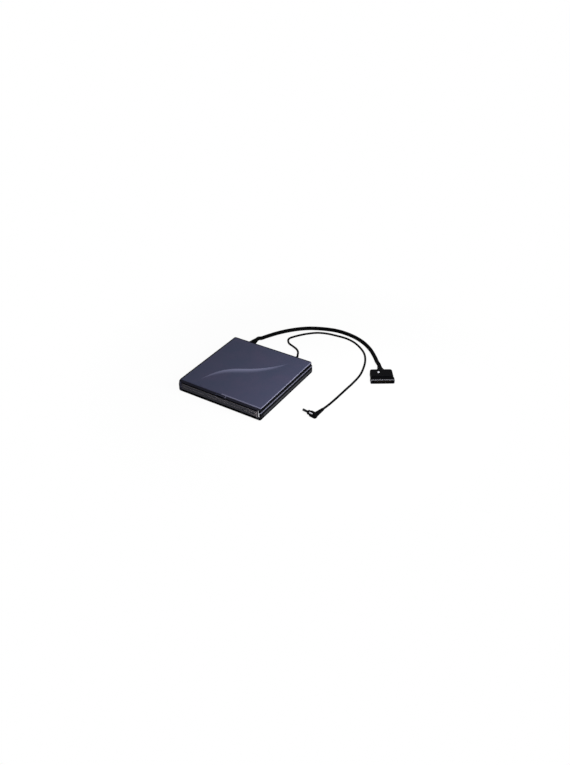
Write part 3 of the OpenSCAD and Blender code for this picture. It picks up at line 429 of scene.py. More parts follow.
@dataclass(frozen=True)
class Striped(Finish):
    """A part with parallel conductors or windings: flat film cable, wound copper wire."""

    stripe: str = "#b98a5a"
    pitch: float = 1.0
    metal: float = 0.0
    turn: Triple = (0.0, 0.0, 0.0)
    depth: float = 0.05
    relief: float = 0.5

    def paint(self, pot: Pot) -> None:
        """Lays the conductors side by side at their pitch.

        Args:
            pot: The material in the making.
        """
        tree = pot.tree
        turned = put(tree, "Mapping", {"Vector": pot.where, "Rotation": self.turn})
        wave = put(tree, "TexWave", {
            "Vector": turned.outputs[0], "Scale": math.pi / 10 * fineness(self.pitch), "Distortion": 0.0})
        tint = put(tree, "Mix", {
            SHARE: wave.outputs["Fac"], FROM: linear(self.colour), TO: linear(self.stripe)},
            data_type="RGBA")
        bump = put(tree, "Bump", {
            "Height": wave.outputs["Fac"], "Strength": self.relief, "Distance": self.depth * MM})
        pot.feed("Base Color", tint, MIXED)
        pot.feed("Normal", bump)
        pot.fix("Metallic", self.metal)


@dataclass(frozen=True)
class ClearPart(Finish):
    """A clear moulded or polished part: a lamp's light guide or the coated objective lens."""

    shade: str = "#204020"
    ior: float = 1.49
    clear: float = 0.5
    cloud: float = 3.0

    def paint(self, pot: Pot) -> None:
        """Shades the body of the part and lets light through it.

        Args:
            pot: The material in the making.
        """
        tree = pot.tree
        cloud = put(tree, "TexNoise", {"Vector": pot.where, "Scale": fineness(self.cloud), "Detail": 1.0})
        tint = put(tree, "Mix", {
            SHARE: cloud.outputs["Fac"], FROM: linear(self.shade), TO: linear(self.colour)},
            data_type="RGBA")
        pot.feed("Base Color", tint, MIXED)
        pot.fix("Transmission Weight", self.clear)
        pot.fix("IOR", self.ior)


# Charcoal-blue roof, matt from its grain; its edges carry a painted highlight, paler and smoother, where
# the creases catch the light.
COVER = MouldedPlastic("grained_abs_charcoal", "#403e54", 0.66, 0.1, "#353b50")
COVER_HIGHLIGHT = MouldedPlastic("rubbed_abs_charcoal", "#7a7a90", 0.5, 0.1, "#66667a", depth=0.01)
# A dimmer painted highlight on the front edge of the roof, right of the middle, and on the left post.
COVER_DIM_HIGHLIGHT = MouldedPlastic("worn_abs_charcoal", "#6b6b82", 0.5, 0.1, "#5b5b70", depth=0.01)
# The ledge round the cover above its skirt, paler with a painted highlight where it faces up, and the skirt
# under it, darkened with painted shade.
COVER_LEDGE = MouldedPlastic("ledge_abs_charcoal", "#4e4e59", 0.5, 0.08, "#40404a", depth=0.01)
COVER_SKIRT = MouldedPlastic("skirt_abs_charcoal", "#131317", 0.55, 0.02, "#0f0f13")
# Painted shade on the cover: its steep sides and its left and rear rims near black, and its sloped front
# band darker than the roof.
COVER_SIDE = MouldedPlastic("side_abs_charcoal", "#09090c", 0.6, 0.005, "#060608")
COVER_BAND = MouldedPlastic("band_abs_charcoal", "#22222c", 0.6, 0.03, "#1a1a23")
# A painted highlight on the right post's front, pale and glossy, where it flashes in the light.
COVER_POST_GLINT = MouldedPlastic("polished_abs_charcoal", "#f2f2f6", 0.3, 0.3, "#dcdce2", depth=0.01)
# The wave's crest, with a painted highlight where its flank turns to the light and a painted shadow along
# the step behind it.
WAVE = SheenedPlastic("sheened_abs_charcoal", "#403e54", 0.62, 0.1, "#353b50",
                      sheen="#6c6e88", step_shadow="#1c1c28")
# Black lower case; the band round its sides is a paler copy with painted light, where light falls on the
# upright wall.
CASE = MouldedPlastic("moulded_abs_black", "#0c0c0e", 0.52, 0.005, "#08080a")
CASE_BAND = MouldedPlastic("band_abs_black", "#2d2e32", 0.5, 0.03, "#242529")
# Dark grey tray front, made paler over its line by painted light, with a painted highlight on its edges and
# painted shade on its chin and set-back top band.
FRONT = MouldedPlastic("moulded_abs_front", "#3c3c44", 0.5, 0.06, "#303038")
FRONT_UPPER = MouldedPlastic("upper_abs_front", "#46464f", 0.5, 0.06, "#3a3a42")
FRONT_HIGHLIGHT = MouldedPlastic("rubbed_abs_front", "#aba2a7", 0.42, 0.2, "#958c91", depth=0.01)
FRONT_SHADE = MouldedPlastic("shaded_abs_front", "#09090b", 0.6, 0.005, "#060608")
# Tray of glass-filled plastic, flat grey-black with a dry surface.
TRAY = MouldedPlastic("glass_filled_tray_plastic", "#26262b", 0.6, 0.2, "#1f1f24", grain=0.7)
BLACK = MouldedPlastic("moulded_connector_black", "#09090b", 0.5, 0.012, "#060608")
# Painted glints on the plugs, small bright spots, and a painted highlight on the rim of the plug's mouth.
BLACK_GLINT = MouldedPlastic("polished_connector_black", "#c4c4ca", 0.3, 0.3, "#adadb4", depth=0.01)
BLACK_HIGHLIGHT = MouldedPlastic("rubbed_connector_black", "#8e8e96", 0.4, 0.2, "#78787f", depth=0.01)
# Acetal slides and clips, ivory and waxy.
PALE = MouldedPlastic("acetal_ivory", "#d5d1c2", 0.4, 0.5, "#c8c4b4", depth=0.01)
# Soft parts: bend reliefs and feet, dampers, and the jackets of cables and wires.
SOFT = MouldedPlastic("moulded_soft_pvc", "#080809", 0.58, 0.01, "#050506", grain=1.4)
DAMPER = MouldedPlastic("silicone_damper_blue", "#2f4a72", 0.65, 0.3, "#263d60", depth=0.02)
JACKET = CableJacket("extruded_pvc_jacket", "#070708", 0.5, 0.01, "#040405")
WIRE = CableJacket("lead_insulation_red", "#b0402c", 0.5, 0.4, "#8a2f20", swell=3.0)
# Zinc-plated sheet, pale and streaked by the mill; ground steel for pins, rods and screws; plated contacts.
SHEET = RolledMetal("zinc_plated_sheet", "#b4b7b8", 0.38, 0.5, "#8e9294")
BRIGHT = RolledMetal("ground_steel", "#c6c9cb", 0.24, 0.5, "#9da1a4", lines=0.3)
DARK_PLATE = RolledMetal("black_nickel_plate", "#2a2b2e", 0.34, 0.5, "#18191b", lines=0.3)
# The contacts' gold is darkened with painted shade, as they sit deep in the plug's mouth.
GOLD = RolledMetal("gold_flashed_contact", "#5e4f2c", 0.36, 0.5, "#463a20", lines=0.4)
# Boards, windings and the flat cable of the drive.
BOARD = CircuitBoard("solder_mask_green", "#1d5a38", 0.4)
COPPER = Striped("wound_copper_wire", "#7a4420", 0.35, 0.5, "#c9814a", pitch=0.8, metal=1.0,
                 turn=(0.0, math.pi / 2, 0.0))
FILM = Striped("polyester_film_cable", "#d4d7da", 0.35, 0.5, "#a9805a")
# The lamp's light guide and the lens over the laser.
LAMP = ClearPart("lamp_guide_green", "#3f5a34", 0.25, 0.5, "#2a3f24")
LENS = ClearPart("coated_lens", "#86a8cc", 0.08, 0.6, "#5a86c0", ior=1.52, clear=0.7)

DRESS: tuple[tuple[Finish, tuple[str, ...]], ...] = (
    (CASE, ("bottom_case",)),
    (COVER, ("top_cover",)),
    (FRONT, ("tray_bezel", "eject_button")),
    (TRAY, ("tray", "turntable", "sled")),
    (BLACK, ("plug_hood_top", "plug_hood_bottom", "plug_flange", "plug_tongue", "drive_connector",
             "board_parts", "tray_chips", "eject_switch", "power_plug_sleeve")),
    (PALE, ("left_guide", "right_guide", "board_connector", "rod_holders", "latch_lever")),
    (SOFT, ("rubber_feet", "interface_boot", "power_boot_case", "plug_boot", "power_plug_body",
            "power_plug_boot", "grip_ring")),
    (DAMPER, ("dampers",)),
    (SHEET, ("drive_pan", "drive_lid", "traverse_plate", "left_rail", "right_rail", "feed_motor",
             "spindle_base", "spindle_rotor")),
    (BRIGHT, ("case_screws", "drive_screws", "lid_screws", "latch_post", "eject_spring", "plug_screws",
              "tray_screws", "guide_rods", "latch_pivot", "clamp_balls", "lead_screw")),
    (DARK_PLATE, ("power_plug_barrel",)),
    (BOARD, ("interface_board", "tray_board")),
    (COPPER, ("spindle_coils", "latch_solenoid")),
    (GOLD, ("plug_contacts",)),
    (FILM, ("ribbon_cable",)),
    (WIRE, ("cable_leads",)),
    (LAMP, ("lamp_window",)),
    (LENS, ("objective_lens",)),
)


def dress_nodes() -> None:
    """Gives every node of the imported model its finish."""
    for finish, names in DRESS:
        for name in names:
            mesh = frame["nodes"][name].data
            mesh.materials.clear()
            mesh.materials.append(finish.material())


def anywhere(place: Vector) -> bool:
    """Accepts every place."""
    return True


def middle(face: Face) -> Vector:
    """Gives the mean of a face's corners."""
    return face.calc_center_median()


def halfway(edge: Edge) -> Vector:
    """Gives the middle of an edge."""
    return (edge.verts[0].co + edge.verts[1].co) / 2


def level_at(z: float) -> Callable[[Edge], bool]:
    """Gives a test for the creased edges that lie at one height."""
    return lambda e: all(abs(v.co.z - z) < 2 * NEAR_BY for v in e.verts) and e.calc_face_angle(0.0) > CREASE


def upright(where: Where) -> Callable[[Edge], bool]:
    """Gives a test for the upright edges whose middle lies where it is wanted.

    Args:
        where: Says of a middle whether it is wanted.

    Returns:
        The test.
    """

    def test(edge: Edge) -> bool:
        """Tells whether one edge is upright and in its place."""
        away = edge.verts[0].co - edge.verts[1].co
        return abs(away.x) < NEAR_BY and abs(away.y) < NEAR_BY and where(halfway(edge))

    return test


def creased(where: Where, least: float = 0.6) -> Callable[[Edge], bool]:
    """Gives a test for the creased edges whose middle lies where it is wanted."""
    return lambda e: e.calc_face_angle(0.0) > least and where(halfway(e))


def lengthwise(least: float) -> Callable[[Edge], bool]:
    """Gives a test for the edges that run from front to rear for more than a length."""
    return lambda e: abs(e.verts[0].co.y - e.verts[1].co.y) > least


def facing(way: Way, where: Where = anywhere) -> Callable[[Face], bool]:
    """Gives a test for the faces that look one way and lie where they are wanted."""
    return lambda f: f.normal.dot(Vector(way.value)) > SQUARE_ON and where(middle(f))


def walled(face: Face) -> bool:
    """Tells whether a face stands upright, or nearly so."""
    return abs(face.normal.z) < 0.1


def sloped(face: Face) -> bool:
    """Tells whether a face looks up and to the front."""
    return face.normal.y < -0.1 and face.normal.z > 0.5


FRONT_CORNERS = upright(lambda c: c.y < 0)
REAR_CORNERS = upright(lambda c: c.y > 0)


def laid(at: Triple, way: Lying) -> Matrix:
    """Gives the move that lays an upright turned piece down at a place."""
    return Matrix.Translation(at) @ Matrix.Rotation(-math.pi / 2, 4, way.value)


class Piece:
    """One piece on the bench, in millimetres until it is handed over."""

    def __init__(self, name: str, paints: Sequence[Finish] = ()) -> None:
        """Takes the object that was just added as the piece.

        Args:
            name: The piece's name.
            paints: Its finishes, of which the first goes on all its faces.
        """
        self.made = bpy.context.object
        self.made.name = self.made.data.name = name
        for paint in paints:
            self.made.data.materials.append(paint.material())

    @staticmethod
    def clear() -> None:
        """Leaves edit mode and deselects everything."""
        if bpy.context.object is not None and bpy.context.object.mode != "OBJECT":
            bpy.ops.object.mode_set(mode="OBJECT")
        bpy.ops.object.select_all(action="DESELECT")

    @classmethod
    def block(cls, name: str, low: Triple, high: Triple, *paints: Finish) -> "Piece":
        """Starts a piece from a cube.

        Args:
            name: The piece's name.
            low: Its lowest corner.
            high: Its highest corner.
            paints: Its finishes.

        Returns:
            The piece.
        """
        cls.clear()
        corners = list(zip(low, high, strict=True))
        bpy.ops.mesh.primitive_cube_add(size=1, location=[(a + b) / 2 for a, b in corners])
        bpy.context.object.scale = [b - a for a, b in corners]
        bpy.ops.object.transform_apply()
        return cls(name, paints)

    @classmethod
    def turned(cls, name: str, outline: Sequence[Pair], *paints: Finish, sides: int = 40) -> "Piece":
        """Starts a piece from a disc that is drawn out along Z.

        Args:
            name: The piece's name.
            outline: Height and radius at each step of the outline.
            paints: Its finishes.
            sides: Faces round the axis.

        Returns:
            The piece, still on the Z axis.
        """
        cls.clear()
        (height, radius), *rest = outline
        bpy.ops.mesh.primitive_circle_add(vertices=sides, radius=radius, fill_type="NGON",
                                          location=(0, 0, height))
        bpy.ops.object.transform_apply()
        piece = cls(name, paints).edit()
        bpy.ops.mesh.select_mode(type="FACE")
        bpy.ops.mesh.select_all(action="SELECT")
        for z, r in rest:
            bpy.ops.mesh.extrude_region_move(TRANSFORM_OT_translate={"value": (0, 0, z - height)})
            bpy.ops.transform.resize(value=(r / radius, r / radius, 1), center_override=(0, 0, z))
            height, radius = z, r
        return piece

    def edit(self) -> "Piece":
        """Goes into edit mode on this piece alone.

        Returns:
            The piece itself.
        """
        if not (bpy.context.object is self.made and self.made.mode == "EDIT"):
            self.hold()
            bpy.ops.object.mode_set(mode="EDIT")
        return self

    def hold(self) -> "Piece":
        """Makes this the one selected piece, in object mode.

        Returns:
            The piece itself.
        """
        self.clear()
        self.made.select_set(True)
        bpy.context.view_layer.objects.active = self.made
        return self

    def pick(self, part: Part, test: Callable[[object], bool]) -> "Piece":
        """Selects the faces or edges that pass a test.

        Args:
            part: Faces or edges.
            test: Says of each whether it is wanted.

        Returns:
            The piece itself.
        """
        self.edit()
        bpy.ops.mesh.select_mode(type=part.name)
        bpy.ops.mesh.select_all(action="DESELECT")
        mesh = bmesh.from_edit_mesh(self.made.data)
        mesh.normal_update()
        for one in [p for p in getattr(mesh, part.value) if test(p)]:
            one.select_set(True)
        bmesh.update_edit_mesh(self.made.data)
        return self

    def faces(self, test: Callable[[Face], bool]) -> "Piece":
        """Selects the faces that pass a test."""
        return self.pick(Part.FACE, test)

    def edges(self, test: Callable[[Edge], bool]) -> "Piece":
        """Selects the edges that pass a test."""
        return self.pick(Part.EDGE, test)

    def span(self, axis: int) -> Pair:
        """Gives the lowest and highest place of what is selected along one axis."""
        places = [v.co[axis] for v in bmesh.from_edit_mesh(self.made.data).verts if v.select]
        return min(places), max(places)

    def fit(self, half: float, front: float, rear: float) -> "Piece":
        """Resizes the selected outline.

        Args:
            half: Its new half width.
            front: Its new front end.
            rear: Its new rear end.

        Returns:
            The piece itself.
        """
        (left, right), (near, far), (z, _) = self.span(0), self.span(1), self.span(2)
        bpy.ops.transform.resize(value=(2 * half / (right - left), (rear - front) / (far - near), 1),
                                 center_override=(0, near, z))
        bpy.ops.transform.translate(value=(0, front - near, 0))
        return self

    def rise(self, z: float, half: float, front: float, rear: float) -> "Piece":
        """Draws the selected face out to a height and fits it to a new outline there."""
        bpy.ops.mesh.extrude_region_move(TRANSFORM_OT_translate={"value": (0, 0, z - self.span(2)[0])})
        return self.fit(half, front, rear)

    def bevel(self, width: float, steps: int = 2, highlight: Finish | None = None) -> "Piece":
        """Rounds the selected edges.

        Args:
            width: How far the rounding reaches from the edge.
            steps: Faces across it.
            highlight: One of the piece's finishes for the new faces, a painted highlight, if they don't
                keep their own.

        Returns:
            The piece itself.
        """
        bpy.ops.mesh.bevel(offset=width, segments=steps, affect="EDGES", clamp_overlap=False,
                           material=-1 if highlight is None else self.number(highlight))
        return self

    def sink(self, border: float, depth: float) -> "Piece":
        """Insets the selected face and pushes it in.

        Args:
            border: Width of the rim that is left.
            depth: Depth of the dish.

        Returns:
            The piece itself.
        """
        bpy.ops.mesh.inset(thickness=border, depth=0)
        bpy.ops.mesh.inset(thickness=depth * DISH_LEAN, depth=-depth)
        return self

    def split(self, way: Way, distance: float) -> "Piece":
        """Cuts the selected faces in two along a plane at a distance from the origin."""
        bpy.ops.mesh.bisect(plane_co=Vector(way.value) * distance, plane_no=way.value)
        return self

    def number(self, finish: Finish) -> int:
        """Gives the number of one of the piece's finishes."""
        return self.made.data.materials.find(finish.name)

    def coat(self, finish: Finish) -> "Piece":
        """Gives the selected faces another of the piece's finishes.

        Args:
            finish: The finish that they get.

        Returns:
            The piece itself.
        """
        self.made.active_material_index = self.number(finish)
        bpy.ops.object.material_slot_assign()
        return self

    def carve(self, *cutters: "Piece") -> "Piece":
        """Cuts other pieces out of this one and clears them away.

        Args:
            cutters: The pieces to cut out.

        Returns:
            The piece itself.
        """
        for cutter in cutters:
            self.hold()
            cut = self.made.modifiers.new("cut", "BOOLEAN")
            cut.operation, cut.solver, cut.object = "DIFFERENCE", "EXACT", cutter.made
            bpy.ops.object.modifier_apply(modifier="cut")
            bpy.data.objects.remove(cutter.made)
        return self

    def repeat(self, places: Sequence[Triple]) -> list["Piece"]:
        """Copies the piece, each copy with its own mesh, and clears the first one away.

        Args:
            places: How far each copy is moved.

        Returns:
            The copies.
        """
        copies = []
        for place in places:
            self.hold()
            bpy.ops.object.duplicate()
            copies.append(Piece(self.made.name).place(Matrix.Translation(place)))
        bpy.data.objects.remove(self.made)
        return copies

    def join(self, *others: "Piece") -> "Piece":
        """Takes other pieces into this one.

        Args:
            others: The pieces to take in.

        Returns:
            The piece itself.
        """
        self.hold()
        for other in others:
            other.made.select_set(True)
        bpy.ops.object.join()
        return self

    def place(self, move: Matrix) -> "Piece":
        """Moves the piece's mesh, so that its object stays at the origin.

        Args:
            move: The move.

        Returns:
            The piece itself.
        """
        self.hold()
        self.made.matrix_world = move
        bpy.ops.object.transform_apply()
        return self

    def hand_over(self, body: Body, slot: Slot, *stands_for: str, smooth: float = 34.0) -> bpy.types.Object:
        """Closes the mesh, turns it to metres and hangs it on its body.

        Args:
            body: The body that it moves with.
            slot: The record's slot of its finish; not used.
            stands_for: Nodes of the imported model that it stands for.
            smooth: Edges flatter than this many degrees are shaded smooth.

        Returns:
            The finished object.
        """
        self.edit()
        bpy.ops.mesh.select_all(action="SELECT")
        bpy.ops.mesh.remove_doubles(threshold=SAME_CORNER)
        bpy.ops.mesh.normals_make_consistent(inside=False)
        self.place(Matrix.Scale(MM, 4))
        bpy.ops.object.shade_smooth_by_angle(angle=math.radians(smooth))
        weigh = self.made.modifiers.new("weigh", "WEIGHTED_NORMAL")
        weigh.keep_sharp, weigh.weight = True, FLAT_WEIGHT
        bpy.ops.object.modifier_apply(modifier="weigh")
        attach(self.made, body.value)
        if stands_for:
            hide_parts(*stands_for)
        LOG.info("%s: %d faces on %s", self.made.name, len(self.made.data.polygons), body.value)
        return self.made


@dataclass(frozen=True)
class Softbox:
    """One square lamp: its place and size in millimetres, and its power in watts."""

    name: str
    place: Triple
    size: float
    power: float

    def hang(self, target: Triple) -> None:
        """Hangs the lamp so that it looks at a place.

        Args:
            target: The place.
        """
        light = bpy.data.lights.new(self.name, "AREA")
        light.shape, light.size, light.energy = "SQUARE", self.size * MM, self.power
        lamp = bpy.data.objects.new(self.name, light)
        lamp.location = Vector(self.place) * MM
        lamp.rotation_euler = (Vector(target) - Vector(self.place)).to_track_quat("-Z", "Y").to_euler()
        bpy.context.scene.collection.objects.link(lamp)


@dataclass
class Studio:
    """Camera, floor, lamps and background. The floor's own sizes are in metres."""

    azimuth: float = 31.705
    elevation: float = 34.349
    distance: float = 1075.5
    target: Triple = (55.24, 15.37, 9.22)
    lens: float = 35.447
    sensor: float = 36.0
    clip: Pair = (0.01, 50.0)
    ambient: float = 0.12
    paper: str = "#f4f4f4"
    floor_size: float = 8.0
    floor_drop: float = 0.0002
    floor_middle: Triple = (0.04, 0.06, 0.0)
    floor_blend: Pair = (0.1, 0.32)
    floor_near: float = 0.95
    lamps: tuple[Softbox, ...] = (
        Softbox("key_softbox", (330, -20, 260), 220, 2.3),
        Softbox("fill_softbox", (-620, -420, 520), 480, 0.3),
        Softbox("back_softbox", (-420, 560, 760), 420, 0.4))

    def build(self) -> None:
        """Sets up the whole studio."""
        scene = bpy.context.scene
        scene.view_settings.view_transform = "Standard"
        self.camera(scene)
        self.floor()
        self.sky(scene)
        for lamp in self.lamps:
            lamp.hang(self.target)

    def camera(self, scene: bpy.types.Scene) -> None:
        """Puts the camera where the photograph was taken from.

        Args:
            scene: The scene that it looks at.
        """
        turn, lift = math.radians(self.azimuth), math.radians(self.elevation)
        back = Vector((math.sin(turn) * math.cos(lift), -math.cos(turn) * math.cos(lift), math.sin(lift)))
        lens = bpy.data.cameras.new("camera")
        lens.sensor_width, lens.sensor_fit, lens.lens = self.sensor, "AUTO", self.lens
        lens.clip_start, lens.clip_end = self.clip
        eye = bpy.data.objects.new("camera", lens)
        eye.location = (Vector(self.target) + back * self.distance) * MM
        eye.rotation_euler = (-back).to_track_quat("-Z", "Y").to_euler()
        scene.collection.objects.link(eye)
        scene.camera = eye

    @staticmethod
    def seen(tree: Tree) -> Socket:
        """Adds the share of the light that goes to the camera, also by way of gloss or glass.

        Args:
            tree: The floor's or the background's nodes.

        Returns:
            The output that is 1 for such light and 0 for the rest.
        """
        path = put(tree, "LightPath")
        plain = put(tree, "Math", {0: path.outputs["Is Camera Ray"], 1: path.outputs["Is Glossy Ray"]},
                    operation="ADD")
        whole = put(tree, "Math", {0: plain.outputs[0], 1: path.outputs["Is Transmission Ray"]},
                    operation="ADD", use_clamp=True)
        return whole.outputs[0]

    def floor(self) -> None:
        """Lays a plain pale floor that shows white to the camera and keeps the shadow."""
        Piece.clear()
        bpy.ops.mesh.primitive_plane_add(size=self.floor_size, location=(0, 0, -self.floor_drop))
        floor = bpy.context.object
        floor.name = "floor"
        paper = bpy.data.materials.new("white_paper")
        tree = fresh(paper)
        where = put(tree, "TexCoord").outputs["Object"]
        away = put(tree, "VectorMath", {0: where, 1: self.floor_middle}, operation="DISTANCE")
        near, far = self.floor_blend
        white_share = put(tree, "MapRange", {
            "Value": away.outputs["Value"], "From Min": near, "From Max": far, "To Min": self.floor_near})
        share = put(tree, "Math", {0: self.seen(tree), 1: white_share.outputs[0]}, operation="MULTIPLY")
        dull = put(tree, "BsdfDiffuse", {"Color": linear(self.paper)})
        white = put(tree, "Emission", {"Color": (1, 1, 1, 1), "Strength": 1.0})
        mixed = put(tree, "MixShader", {0: share.outputs[0], 1: dull.outputs[0], 2: white.outputs[0]})
        put(tree, "OutputMaterial", {"Surface": mixed.outputs[0]})
        floor.data.materials.append(paper)

    def sky(self, scene: bpy.types.Scene) -> None:
        """Makes the background white to the eye and soft in its light.

        Args:
            scene: The scene that it surrounds.
        """
        world = bpy.data.worlds.new("studio")
        tree = fresh(world)
        level = put(tree, "MapRange", {"Value": self.seen(tree), "To Min": self.ambient, "To Max": 1.0})
        light = put(tree, "Background", {"Color": (1, 1, 1, 1), "Strength": level.outputs[0]})
        put(tree, "OutputWorld", {"Surface": light.outputs[0]})
        scene.world = world


@dataclass
class Cord:
    """One cable: its route of chosen points, as in the part's source.

    The points of the lay give the way behind the case's rear and the height under the jacket.
    """

    name: str
    node: str
    across: float
    start: Sequence[Triple]
    lay: Sequence[Triple]
    end: Sequence[Triple]
    rear: float = 70.5
    steps: int = 6
    roundness: int = 6

    def route(self) -> list[Vector]:
        """Gives the cable's centreline in millimetres, with straight ends.

        Returns:
            Points close together along one smooth curve.
        """
        lay = [(x, self.rear + y, z + self.across / 2) for x, y, z in self.lay]
        marks = [Vector(p) for p in [*self.start, *lay, *self.end]]
        line = [marks[0]]
        for i in range(1, len(marks) - 2):
            a, b, c, d = marks[i - 1 : i + 3]
            for k in range(self.steps):
                t = k / self.steps
                line.append(0.5 * (2 * b + (c - a) * t + (2 * a - 5 * b + 4 * c - d) * t * t
                                   + (3 * b - a - 3 * c + d) * t**3))
        return [*line, marks[-2], marks[-1]]

    def build(self) -> bpy.types.Object:
        """Draws the cable as a round curve along its route.

        Returns:
            The finished cable.
        """
        line = self.route()
        curve = bpy.data.curves.new(self.name, "CURVE")
        curve.dimensions, curve.bevel_depth = "3D", self.across / 2 * MM
        curve.bevel_resolution = self.roundness
        curve.use_fill_caps, curve.twist_mode = True, "MINIMUM"
        spline = curve.splines.new("POLY")
        spline.points.add(len(line) - 1)
        for point, at in zip(spline.points, line, strict=True):
            point.co = (*(at * MM), 1.0)
        spline.use_smooth = True
        made = bpy.data.objects.new(self.name, curve)
        bpy.context.scene.collection.objects.link(made)
        curve.materials.append(JACKET.material())
        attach(made, Body.CASE.value)
        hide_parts(self.node)
        LOG.info("%s: %.0f mm long", self.name, self.length())
        return made

    def length(self) -> float:
        """Gives the cable's length in millimetres."""
        line = self.route()
        return sum((b - a).length for a, b in zip(line, line[1:], strict=False))


DATA_CORD = Cord(
    "interface_cord", "interface_cable", 6.0,
    start=((-44.1, 90.5, 9.5), (-44.1, 96.5, 9.5)),
    lay=((-42.3, 33, 4.2), (-41.1, 41.2, 2.6), (-38.8, 51.8, 0.8), (-34.8, 62.3, 0), (-26.5, 75.4, 0),
         (-15.2, 89.4, 0), (-2.1, 101.5, 0), (11, 109.8, 0), (27, 116.7, 0), (44.2, 121.2, 0),
         (61.5, 121.3, 0), (79.6, 118, 0), (97.4, 110.5, 0), (114.4, 98.7, 0), (128.6, 84.4, 0.2),
         (139.8, 70.8, 0.9)),
    end=((146.296, 134.396, 4.5), (149.564, 129.364, 4.5)))
POWER_CORD = Cord(
    "power_cord", "power_cable", 3.2,
    start=((35.1, 80.5, 9.5), (35.1, 83.7, 9.5)),
    lay=((32, 18.9, 7), (29.4, 24.3, 6), (24.6, 31.4, 4.4), (18.1, 38, 2.8), (7.8, 44.6, 1),
         (-2.3, 50, 0.1), (-8.9, 58.4, 0), (-9.2, 64.7, 0), (-6.1, 71.5, 0), (0.2, 81.5, 0), (8.7, 91.9, 0),
         (20.3, 101.8, 0), (34.6, 107.4, 0), (50.7, 109.5, 0), (66.2, 110.2, 0), (82.3, 106.3, 0),
         (97.5, 97.4, 0), (111, 85.2, 0), (120.7, 69.8, 0), (127.5, 52.1, 0), (132.8, 29.5, 0),
         (133.6, 6.8, 0), (132.5, -16.1, 0), (131.4, -38.6, 0), (130.3, -56, 0.2), (129.9, -64.5, 1)),
    end=((129.590, -1.116, 3.5), (129.144, -4.285, 3.5)))


@dataclass
class RoofWave:
    """The raised wave on the cover's roof: a sharp step behind, a long soft flank before."""

    roof: float
    high: float = 0.6
    wide: float = 13.0
    tip: float = 0.006
    steps: int = 80
    flank: int = 12
    skin: float = 0.02
    swell: float = 0.5
    taper: float = 0.7
    root: float = 0.4
    path: Sequence[Triple] = ((-43.6, -53.2, 0), (-29.5, 11.9, 0), (4, -14.4, 0), (42, 47.2, 0))
    # Rows across the step: the way from the crest's line, the share of the wave's height, and a lift. The
    # flat rows behind the step lie just over the roof to carry the painted shadow.
    rows: Sequence[Triple] = (
        (-1.6, 0.0, -0.3), (-1.5, 0.0, 0.02), (-0.7, 0.0, 0.03), (-0.05, 0.0, 0.04), (0.0, 0.7, 0.0),
        (0.08, 0.92, 0.0), (0.22, 1.0, 0.0))

    def build(self) -> None:
        """Lays a grid along the wave's path, and closes it under the roof."""
        Piece.clear()
        bpy.ops.mesh.primitive_grid_add(
            x_subdivisions=self.steps, y_subdivisions=len(self.rows) + self.flank - 1, size=1)
        patch = Piece("roof_wave", (WAVE,))
        for k, vertex in enumerate(patch.made.data.vertices):
            row, column = divmod(k, self.steps + 1)
            vertex.co = self.point(self.tip + (1 - 2 * self.tip) * column / self.steps, row)
        patch.edges(lambda e: e.is_boundary)
        bpy.ops.mesh.extrude_region_move(TRANSFORM_OT_translate={"value": (0, 0, -1)})
        bpy.ops.transform.resize(value=(1, 1, 0), center_override=(0, 0, self.roof - self.root))
        bpy.ops.mesh.edge_face_add()
        patch.hand_over(Body.CASE, Slot.COVER, smooth=50)

    def point(self, t: float, row: int) -> Vector:
        """Gives one point of the wave.

        Args:
            t: How far it lies along the wave, from 0 to 1.
            row: Its row across the wave, from the step's foot to the end of the flank.

        Returns:
            The point in millimetres.
        """
        a, b, c, d = (Vector(p) for p in self.path)
        rest = 1 - t
        at = a * rest**3 + 3 * b * t * rest**2 + 3 * c * t * t * rest + d * t**3
        way = ((b - a) * rest**2 + 2 * (c - b) * t * rest + (d - c) * t * t).normalized()
        bulge = math.sin(math.pi * t)
        high, width = self.high * bulge**self.swell, bulge**self.taper
        if row < len(self.rows):
            reach, share, lift = self.rows[row]
            reach *= width
            lift += high * share
        else:
            step = (row - len(self.rows) + 1) / self.flank
            top = self.rows[-1][0]
            reach = top + (self.wide * width - top) * step
            lift = high * (1 - step) ** 2 + self.skin * (1 - step)
        at = at + Vector((way.y, -way.x, 0)) * reach
        return Vector((at.x, at.y, self.roof + lift))


